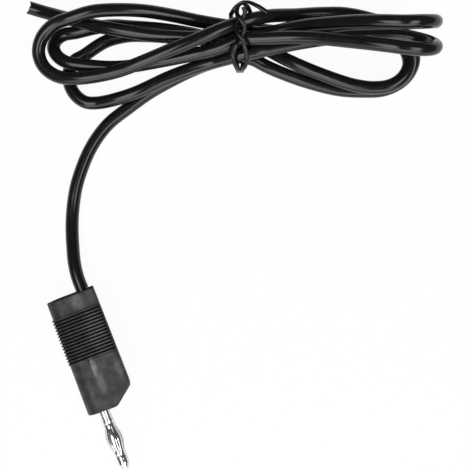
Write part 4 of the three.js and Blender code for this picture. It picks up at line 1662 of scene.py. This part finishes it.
@dataclass
class Cord:
    """The cord from the plug to its cut end, and what shows in the cut."""

    route: CordRoute
    exit_point: Vector
    step: float = 0.9
    sides: int = 28
    notch_depth: float = 0.8
    # Height of the cut's waves, and how fast they change across the cord and up it.
    ragged: tuple[float, float, float] = (0.12, 7, 3)
    core_radius: float = 0.6
    core_length: float = 3.0
    core_stands_out: float = 0.15
    strand_share: float = 5.2
    strand_pitch: float = 2.05
    # Rings of strands round the middle one, with the number of strands in each.
    strand_rings: tuple[tuple[int, int], ...] = ((1, 6), (2, 12))

    def notch(self, across: float, above: float) -> float:
        """Hollow of the cut end, deepest at its middle, like a fish tail.

        Args:
            across: Place across the cord on the level, where 1 is its radius.
            above: Place over its middle.

        Returns:
            How far the cut stands out along the cord, in millimetres.
        """
        height, wave_across, wave_above = self.ragged
        wave = height * math.sin(wave_across * across + wave_above * above)
        return -self.notch_depth * (1 - across * across) + wave

    def line(self) -> list[Vector]:
        """Give the centreline of the whole cord, in millimetres."""
        return centripetal(self.route.points(self.exit_point), self.step)

    def build(self, material: Material) -> Piece:
        """Make the cord.

        Args:
            material: Its jacket's plastic.

        Returns:
            The cord as one closed tube.
        """
        piece = tube("cord", self.line(), self.route.radius, self.sides, self.notch)
        piece.data.materials.append(material)
        return piece

    def strands(self, material: Material) -> Piece:
        """Make the stranded conductor's end: one wire, repeated in rings with Geometry Nodes.

        Args:
            material: Its metal.

        Returns:
            The strands as one plain mesh.
        """
        line = self.line()
        ahead = (line[-1] - line[-3]).normalized()
        end = line[-1] - ahead * (self.notch_depth - self.core_stands_out)
        start = end - ahead * self.core_length
        up = Vector((0, 0, 1))
        side = ahead.cross(up).normalized()
        up = side.cross(ahead)
        wire = self.core_radius / self.strand_share
        places = [Vector((0, 0, 0))]
        for ring, count in self.strand_rings:
            for index in range(count):
                angle = 2 * math.pi * index / count
                outwards = up * math.cos(angle) + side * math.sin(angle)
                places.append(outwards * (ring * wire * self.strand_pitch))
        piece = new_piece("conductor_strands", places, [])
        single = tube("one_strand", [start, (start + end) / 2, end], wire, sides=8)
        tree = new_geometry_tree("strands_in_conductor", {"Strand": "Object", "Metal": "Material"})
        given = add_node(tree, "NodeGroupInput")
        info = add_node(tree, "GeometryNodeObjectInfo", None, {"Object": given.outputs["Strand"]})
        laid = add_node(
            tree,
            "GeometryNodeInstanceOnPoints",
            None,
            {"Points": given.outputs["Geometry"], "Instance": info.outputs["Geometry"]},
        )
        solid = add_node(tree, "GeometryNodeRealizeInstances", None, {0: laid.outputs[0]})
        dressed = add_node(
            tree,
            "GeometryNodeSetMaterial",
            None,
            {"Geometry": solid.outputs[0], "Material": given.outputs["Metal"]},
        )
        add_node(tree, "NodeGroupOutput", None, {0: dressed.outputs[0]})
        run_tree(piece, tree, {"Strand": single, "Metal": material})
        bpy.data.objects.remove(single)
        return soften(piece, crease_degrees=60)


@dataclass
class TwistTie:
    """One coated wire: behind the waist, over its front on the left, twisted, and over the right."""

    route: CordRoute
    half_width: float = 0.68
    half_thickness: float = 0.42
    sides: int = 16
    step: float = 0.25
    turns: float = 1
    steps_per_turn: int = 8
    twist_half_height: float = 0.75
    twist_half_width: float = 1.2
    twist: tuple = ([0, -2.9, 17.1], [0.2, 6.6, 17.7])
    loop: list = field(
        default_factory=lambda: [
            [8.1, 7.2, 14.2],
            [4.6, 9.4, 14.1],
            [1.6, 10.7, 13],
            [-0.8, 9.8, 11.6],
            [-2.5, 8, 10],
            [-2.7, 8.2, 6.4],
            [-2.7, 8.4, 3.4],
            [-2.8, 7.5, 1.3],
            [-2.7, 5.2, 0.5],
            [-2.2, 1, 0.45],
            [-1.4, -3.4, 0.45],
            [-0.7, -6.6, 1.2],
            [-0.55, -8.2, 3.4],
            [-0.55, -8.8, 6.4],
            [-0.7, -8.8, 9.3],
            [-1.2, -8.1, 11.5],
            [-1.9, -6.8, 13.3],
            [-2.1, -4.9, 15.2],
        ]
    )
    arch: list = field(
        default_factory=lambda: [
            [-0.6, 8.5, 16.9],
            [0.7, 9.6, 15.6],
            [2, 9.1, 14.4],
            [2.8, 8.1, 12.8],
            [3.1, 7.6, 10],
            [3.1, 7.9, 6.4],
            [3, 8, 3.6],
            [2.9, 7.2, 1.3],
            [2.7, 5, 0.5],
            [2.2, 1, 0.45],
            [1.4, -3.6, 0.45],
            [0.7, -6.7, 1.3],
            [0.55, -8.2, 3.6],
            [0.55, -8.8, 6.6],
            [0.7, -8.8, 9.3],
            [1.4, -8.2, 11.5],
            [1.9, -6.6, 13.5],
            [1.8, -4.9, 15.2],
        ]
    )
    end: list = field(default_factory=lambda: [[0.9, 8, 18.1]])

    def strand(self, start_angle: float) -> list[Vector]:
        """One wire of the twisted pair.

        Args:
            start_angle: The side of the twist's axis where it starts, in radians.

        Returns:
            Points along the wire.
        """
        steps = int(self.turns * self.steps_per_turn)
        result = []
        for step in range(steps + 1):
            share = step / steps
            angle = start_angle + 2 * math.pi * self.turns * share
            point = Vector(self.twist[0]).lerp(Vector(self.twist[1]), share)
            level, above = self.twist_half_width * math.cos(angle), self.twist_half_height * math.sin(angle)
            result.append(point + Vector((level, 0, above)))
        return result

    def flatten(self, piece: Piece, line: Sequence[Vector]) -> None:
        """Press the round wire to a ribbon whose broad side lies level or on the cords.

        Args:
            piece: Tube with a ring of corners at each point of its line, then the rings of its end.
            line: The tube's centreline, in millimetres.
        """
        across = self.route.from_waist((1, 0, 0)) - self.route.from_waist((0, 0, 0))
        for corner in piece.data.vertices:
            index = min(corner.index // self.sides, len(line) - 1)
            ahead = (line[min(index + 1, len(line) - 1)] - line[max(index - 1, 0)]).normalized()
            broad = (across - ahead * across.dot(ahead)).normalized()
            offset = corner.co / MM - line[index]
            level = offset.dot(broad)
            flat = offset + broad * (level * (self.half_width / self.half_thickness - 1))
            corner.co = (line[index] + flat) * MM

    def build(self, material: Material) -> Piece:
        """Make the tie.

        Args:
            material: Its coat's plastic.

        Returns:
            The tie as one closed ribbon.
        """
        laid = [*self.loop, *self.strand(math.pi), *self.arch, *self.strand(0), *self.end]
        line = centripetal([self.route.from_waist(point) for point in laid], self.step)
        piece = tube("coated_wire_tie", line, self.half_thickness, self.sides)
        self.flatten(piece, line)
        piece.data.materials.append(material)
        return piece


# ---------------------------------------------------------------- studio


@dataclass(frozen=True)
class SoftPanel:
    """Lit panel that fades at its edges. Its place is right of, above and over the picture's middle."""

    name: str
    place: Point
    width: float
    height: float
    brightness: float
    tilt: float = 0.0
    soft_edge: float = 0.3


@dataclass
class Studio:
    """White table, soft panels and the camera straight above the hank and plug."""

    camera_over_waist: tuple[float, float] = (-1.5, -58.0)
    camera_height: float = 300.0
    focal_px: float = 975.0
    frame_px: float = 470.0
    sensor: float = 36.0
    clip_metres: tuple[float, float] = (0.01, 10.0)
    table_reach: float = 4000.0
    shadow_share: float = 0.05
    mirrored_shadow_share: float = 0.85
    bounce: str = "909090"
    room_light: float = 0.12
    panels: tuple[SoftPanel, ...] = (
        SoftPanel("panel_over_left", (-425, -510, 1100), 720, 1300, 4.2, 0.0, 0.16),
        SoftPanel("panel_over_right", (675, -510, 1100), 670, 1300, 4.2, 0.0, 0.16),
        SoftPanel("panel_below", (0, -1085, 505), 2300, 960, 3.0, 65),
    )

    def camera(self, route: CordRoute) -> Piece:
        """Make the camera at the photograph's viewing angle.

        Args:
            route: Gives the picture's turn and middle.

        Returns:
            The camera, which is also the scene's own.
        """
        data = bpy.data.cameras.new("camera")
        data.sensor_width = self.sensor
        data.lens = self.sensor * self.focal_px / self.frame_px
        data.clip_start, data.clip_end = self.clip_metres
        camera = new_object("camera", data)
        place = route.from_waist((*self.camera_over_waist, self.camera_height))
        camera.location = place * MM
        camera.rotation_euler = (0, 0, -math.radians(route.lay_turn))
        bpy.context.scene.camera = camera
        return camera

    def floor(self) -> Piece:
        """Make the table: white to the eye, with its shadow, and a softer white in reflections.

        Returns:
            The table.
        """
        far = self.table_reach
        corners = [(-far, -far, 0), (far, -far, 0), (far, far, 0), (-far, far, 0)]
        floor = new_piece("table", corners, [[0, 1, 2, 3]])
        material, tree, output = new_material("white_table")
        seen = add_node(tree, "ShaderNodeLightPath")
        direct = add_node(
            tree,
            "ShaderNodeMath",
            {"operation": "MAXIMUM"},
            {0: seen.outputs["Is Camera Ray"], 1: seen.outputs["Is Transmission Ray"]},
        )
        straight = add_node(
            tree,
            "ShaderNodeMath",
            {"operation": "MULTIPLY", 1: 1 - self.shadow_share},
            {0: direct.outputs[0]},
        )
        mirrored = add_node(
            tree,
            "ShaderNodeMath",
            {"operation": "MULTIPLY", 1: 1 - self.mirrored_shadow_share},
            {0: seen.outputs["Is Glossy Ray"]},
        )
        share = add_node(
            tree, "ShaderNodeMath", {"operation": "ADD"}, {0: straight.outputs[0], 1: mirrored.outputs[0]}
        )
        tone = add_node(
            tree,
            "ShaderNodeMix",
            {"data_type": "RGBA", 6: linear("ffffff"), 7: linear(self.bounce)},
            {0: seen.outputs["Is Diffuse Ray"]},
        )
        paint = add_node(tree, "ShaderNodeBsdfDiffuse", None, {"Color": tone.outputs[2]})
        glow = add_node(tree, "ShaderNodeEmission", {"Color": (1, 1, 1, 1), "Strength": 1.0})
        mix = add_node(
            tree,
            "ShaderNodeMixShader",
            None,
            {0: share.outputs[0], 1: paint.outputs["BSDF"], 2: glow.outputs["Emission"]},
        )
        tree.links.new(mix.outputs[0], output.inputs["Surface"])
        floor.data.materials.append(material)
        return floor

    def panel(self, spec: SoftPanel, route: CordRoute) -> None:
        """Hang a soft panel.

        Args:
            spec: Its place, size and light.
            route: Gives the picture's turn and middle.
        """
        data = bpy.data.lights.new(spec.name, "AREA")
        data.shape = "RECTANGLE"
        data.size, data.size_y = spec.width * MM, spec.height * MM
        data.energy = spec.brightness * math.pi * data.size * data.size_y
        data.use_nodes = True
        tree = data.node_tree
        tree.nodes.clear()
        spot = add_node(tree, "ShaderNodeNewGeometry").outputs["Parametric"]
        sides = add_node(tree, "ShaderNodeSeparateXYZ", None, {0: spot})
        strength = None
        for side in ("X", "Y"):
            inwards = add_node(
                tree, "ShaderNodeMath", {"operation": "PINGPONG", 1: 0.5}, {0: sides.outputs[side]}
            )
            fade = add_node(
                tree,
                "ShaderNodeMapRange",
                {"interpolation_type": "SMOOTHSTEP", "From Max": spec.soft_edge},
                {"Value": inwards.outputs[0]},
            ).outputs["Result"]
            if strength is not None:
                fade = add_node(
                    tree, "ShaderNodeMath", {"operation": "MULTIPLY"}, {0: strength, 1: fade}
                ).outputs[0]
            strength = fade
        glow = add_node(tree, "ShaderNodeEmission", None, {"Strength": strength})
        add_node(tree, "ShaderNodeOutputLight", None, {"Surface": glow.outputs[0]})
        lamp = new_object(spec.name, data)
        right, up, over = spec.place
        place = (self.camera_over_waist[0] + right, self.camera_over_waist[1] + up, over)
        lamp.location = route.from_waist(place) * MM
        lamp.rotation_euler = (math.radians(spec.tilt), 0, -math.radians(route.lay_turn))

    def world(self) -> None:
        """Make the even grey light of the room, white where the camera looks past the table."""
        world = bpy.data.worlds.new("room")
        world.use_nodes = True
        bpy.context.scene.world = world
        tree = world.node_tree
        tree.nodes.clear()
        dim = add_node(tree, "ShaderNodeBackground", {"Color": (1, 1, 1, 1), "Strength": self.room_light})
        white = add_node(tree, "ShaderNodeBackground", {"Color": (1, 1, 1, 1), "Strength": 1.0})
        seen = add_node(tree, "ShaderNodeLightPath")
        mix = add_node(
            tree,
            "ShaderNodeMixShader",
            None,
            {0: seen.outputs["Is Camera Ray"], 1: dim.outputs[0], 2: white.outputs[0]},
        )
        add_node(tree, "ShaderNodeOutputWorld", None, {"Surface": mix.outputs[0]})

    def build(self, route: CordRoute) -> None:
        """Set up the camera, the table and the lamps.

        Args:
            route: Gives the picture's turn and middle.
        """
        self.camera(route)
        self.floor()
        self.world()
        for spec in self.panels:
            self.panel(spec, route)
        bpy.context.scene.view_settings.view_transform = "Standard"


# ---------------------------------------------------------------- assembly


@dataclass
class EarthingLead:
    """The whole lead, dressed over its frame."""

    frame: dict
    housing: PlugHousing = field(default_factory=PlugHousing)
    route: CordRoute = field(default_factory=CordRoute)

    def settle(self, piece: Piece, body: str, slot: str, *nodes: str) -> Piece:
        """Tie a finished piece to its body, and hide the nodes that it stands for.

        Args:
            piece: The piece.
            body: Body that it rides.
            slot: Its material slot in the record. Not used.
            nodes: Nodes of the frame that it replaces.

        Returns:
            The same piece.
        """
        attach(piece, body)
        if nodes:
            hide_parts(*nodes)
        LOG.info("%s: %d faces, stands for %s", piece.name, len(piece.data.polygons), ", ".join(nodes))
        return piece

    def dress(self, node: str, material: Material) -> None:
        """Give a node of the frame its finish.

        Args:
            node: Name of the node.
            material: The finish.
        """
        carried = self.frame["nodes"][node]
        carried.data.materials.clear()
        carried.data.materials.append(material)
        LOG.info("%s: dressed in %s", node, material.name)

    def plug(self) -> None:
        """Build the plug's shown pieces."""
        shell = self.housing
        # Middle, reach and strength of each painted highlight: three on the wedge, one over the ribs
        # and one on the land at the cord's end.
        highlight_patches = (
            (shell.to_row(2.6, 13.4, 4.8), (1.4, 4.6, 2.0), 1.0),
            (shell.to_row(3.2, 8.6, 4.8), (1.8, 5.4, 2.0), 0.4),
            (shell.to_row(9.6, 11.0, 4.8), (1.4, 4.2, 2.0), 0.35),
            (shell.to_row(7.0, 22.8, 4.9), (4.6, 9.6, 2.0), 0.45),
            (shell.to_row(5.0, 33.6, 4.6), (3.0, 3.6, 2.0), 0.5),
        )
        abs_plastic = MouldedAbs(
            highlight_patches=highlight_patches,
            highlight_edge=shell.to_row(shell.pad_offset, 0, 0)[0],
            first_rib=shell.to_row(0, shell.length - shell.first_rib_from_end, 0)[1],
            rib_count=shell.rib_count,
            rib_pitch=shell.rib_pitch,
            mouth=shell.to_row(0, shell.length, 0),
        ).build()
        # Nickel plate on turned brass gives a bright mirror, a little soft from the turning.
        nickel = PlainMetal("bright_nickel_plate", "dbdad8", 0.12).build()
        for side, node in ((Side.FRONT, "front_shell"), (Side.REAR, "rear_shell")):
            self.settle(self.housing.half(side, abs_plastic), PLUG_BODY, "housing_plastic", node)
        pin = ContactPin(self.housing.pin_axis, -self.housing.middle[1])
        self.settle(pin.core(nickel), PLUG_BODY, "pin_nickel", "contact_pin")
        self.settle(pin.nose_cap(nickel), PLUG_BODY, "pin_nickel", "pin_nose")
        self.settle(pin.cage(nickel), CAGE_BODY, "pin_nickel", "lamella_cage")
        self.settle(pin.socket(nickel), PLUG_BODY, "pin_nickel", "socket_sleeve")

    def insides(self, pvc: Material) -> None:
        """Dress the pieces inside the housing.

        Args:
            pvc: The cord's jacket.
        """
        # Tin drawn over copper wire is pale grey and duller than nickel, with lines along the wire.
        tin = PlainMetal("tinned_copper", "b9bcbe", 0.32, lengthwise=True).build()
        # Brass stamped from a rolled strip is yellow, with a soft sheen.
        self.dress("solder_tab", PlainMetal("stamped_brass", "c9a455", 0.3).build())
        for node in ("resistor_lead_a", "resistor_lead_b", "crimp_ferrule"):
            self.dress(node, tin)
        # Lacquer dipped over ceramic is pale blue, smooth and slightly clouded.
        self.dress("resistor_body", MottledPlastic("lacquered_resistor", "8fb2c9", "86a8be", 0.4).build())
        # Polyolefin shrunk with heat is near black and dull.
        self.dress("shrink_sleeve", MottledPlastic("shrunk_polyolefin", "1c1c1d", "242425", 0.55).build())
        # Moulded nylon is dark grey and waxy.
        self.dress("cord_clamp", MottledPlastic("moulded_nylon", "3c3d3f", "454648", 0.5).build())
        # Copper strands are warm and bright, with lines along the cord.
        self.dress("conductor_stub", PlainMetal("stranded_copper", "b86b42", 0.35, lengthwise=True).build())
        self.dress("jacket_stub", pvc)

    def cord(self, pvc: Material) -> None:
        """Build the cord, its conductor's end and the tie.

        Args:
            pvc: The cord's jacket.
        """
        exit_point = Vector(self.housing.to_row(self.housing.cord_offset, self.housing.length, 0))
        cord = Cord(self.route, exit_point)
        piece = cord.build(pvc)
        self.settle(piece, PLUG_BODY, "cord_jacket", "cord_lead", "cord_hank", "cord_tail")
        # Bare drawn copper shows as warm points in the cut end.
        copper = PlainMetal("drawn_copper_strand", "b5693f", 0.3, lengthwise=True).build()
        strands = cord.strands(copper)
        self.settle(strands, PLUG_BODY, "core_copper", "tail_conductor")
        # PVC coated on soft wire is black, with a satin gloss a little duller than the cord's.
        coat = MottledPlastic("pvc_coated_wire", "0e0e0f", "171718", 0.24, 1.2, 1.4).build()
        tie = TwistTie(self.route).build(coat)
        self.settle(tie, PLUG_BODY, "tie_coat", "twist_tie")
        line = cord.line()
        length = sum((b - a).length for a, b in zip(line, line[1:]))
        LOG.info("cord: %.1f mm long", length)

    def build(self) -> None:
        """Build and dress everything."""
        pvc = ExtrudedPvc().build()
        self.cord(pvc)
        self.plug()
        self.insides(pvc)


def main() -> None:
    """Load the frame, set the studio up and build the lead."""
    logging.basicConfig(level=logging.INFO, format="%(message)s")
    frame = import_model()
    lead = EarthingLead(frame)
    Studio().build(lead.route)
    lead.build()


if __name__ == "__main__":
    main()
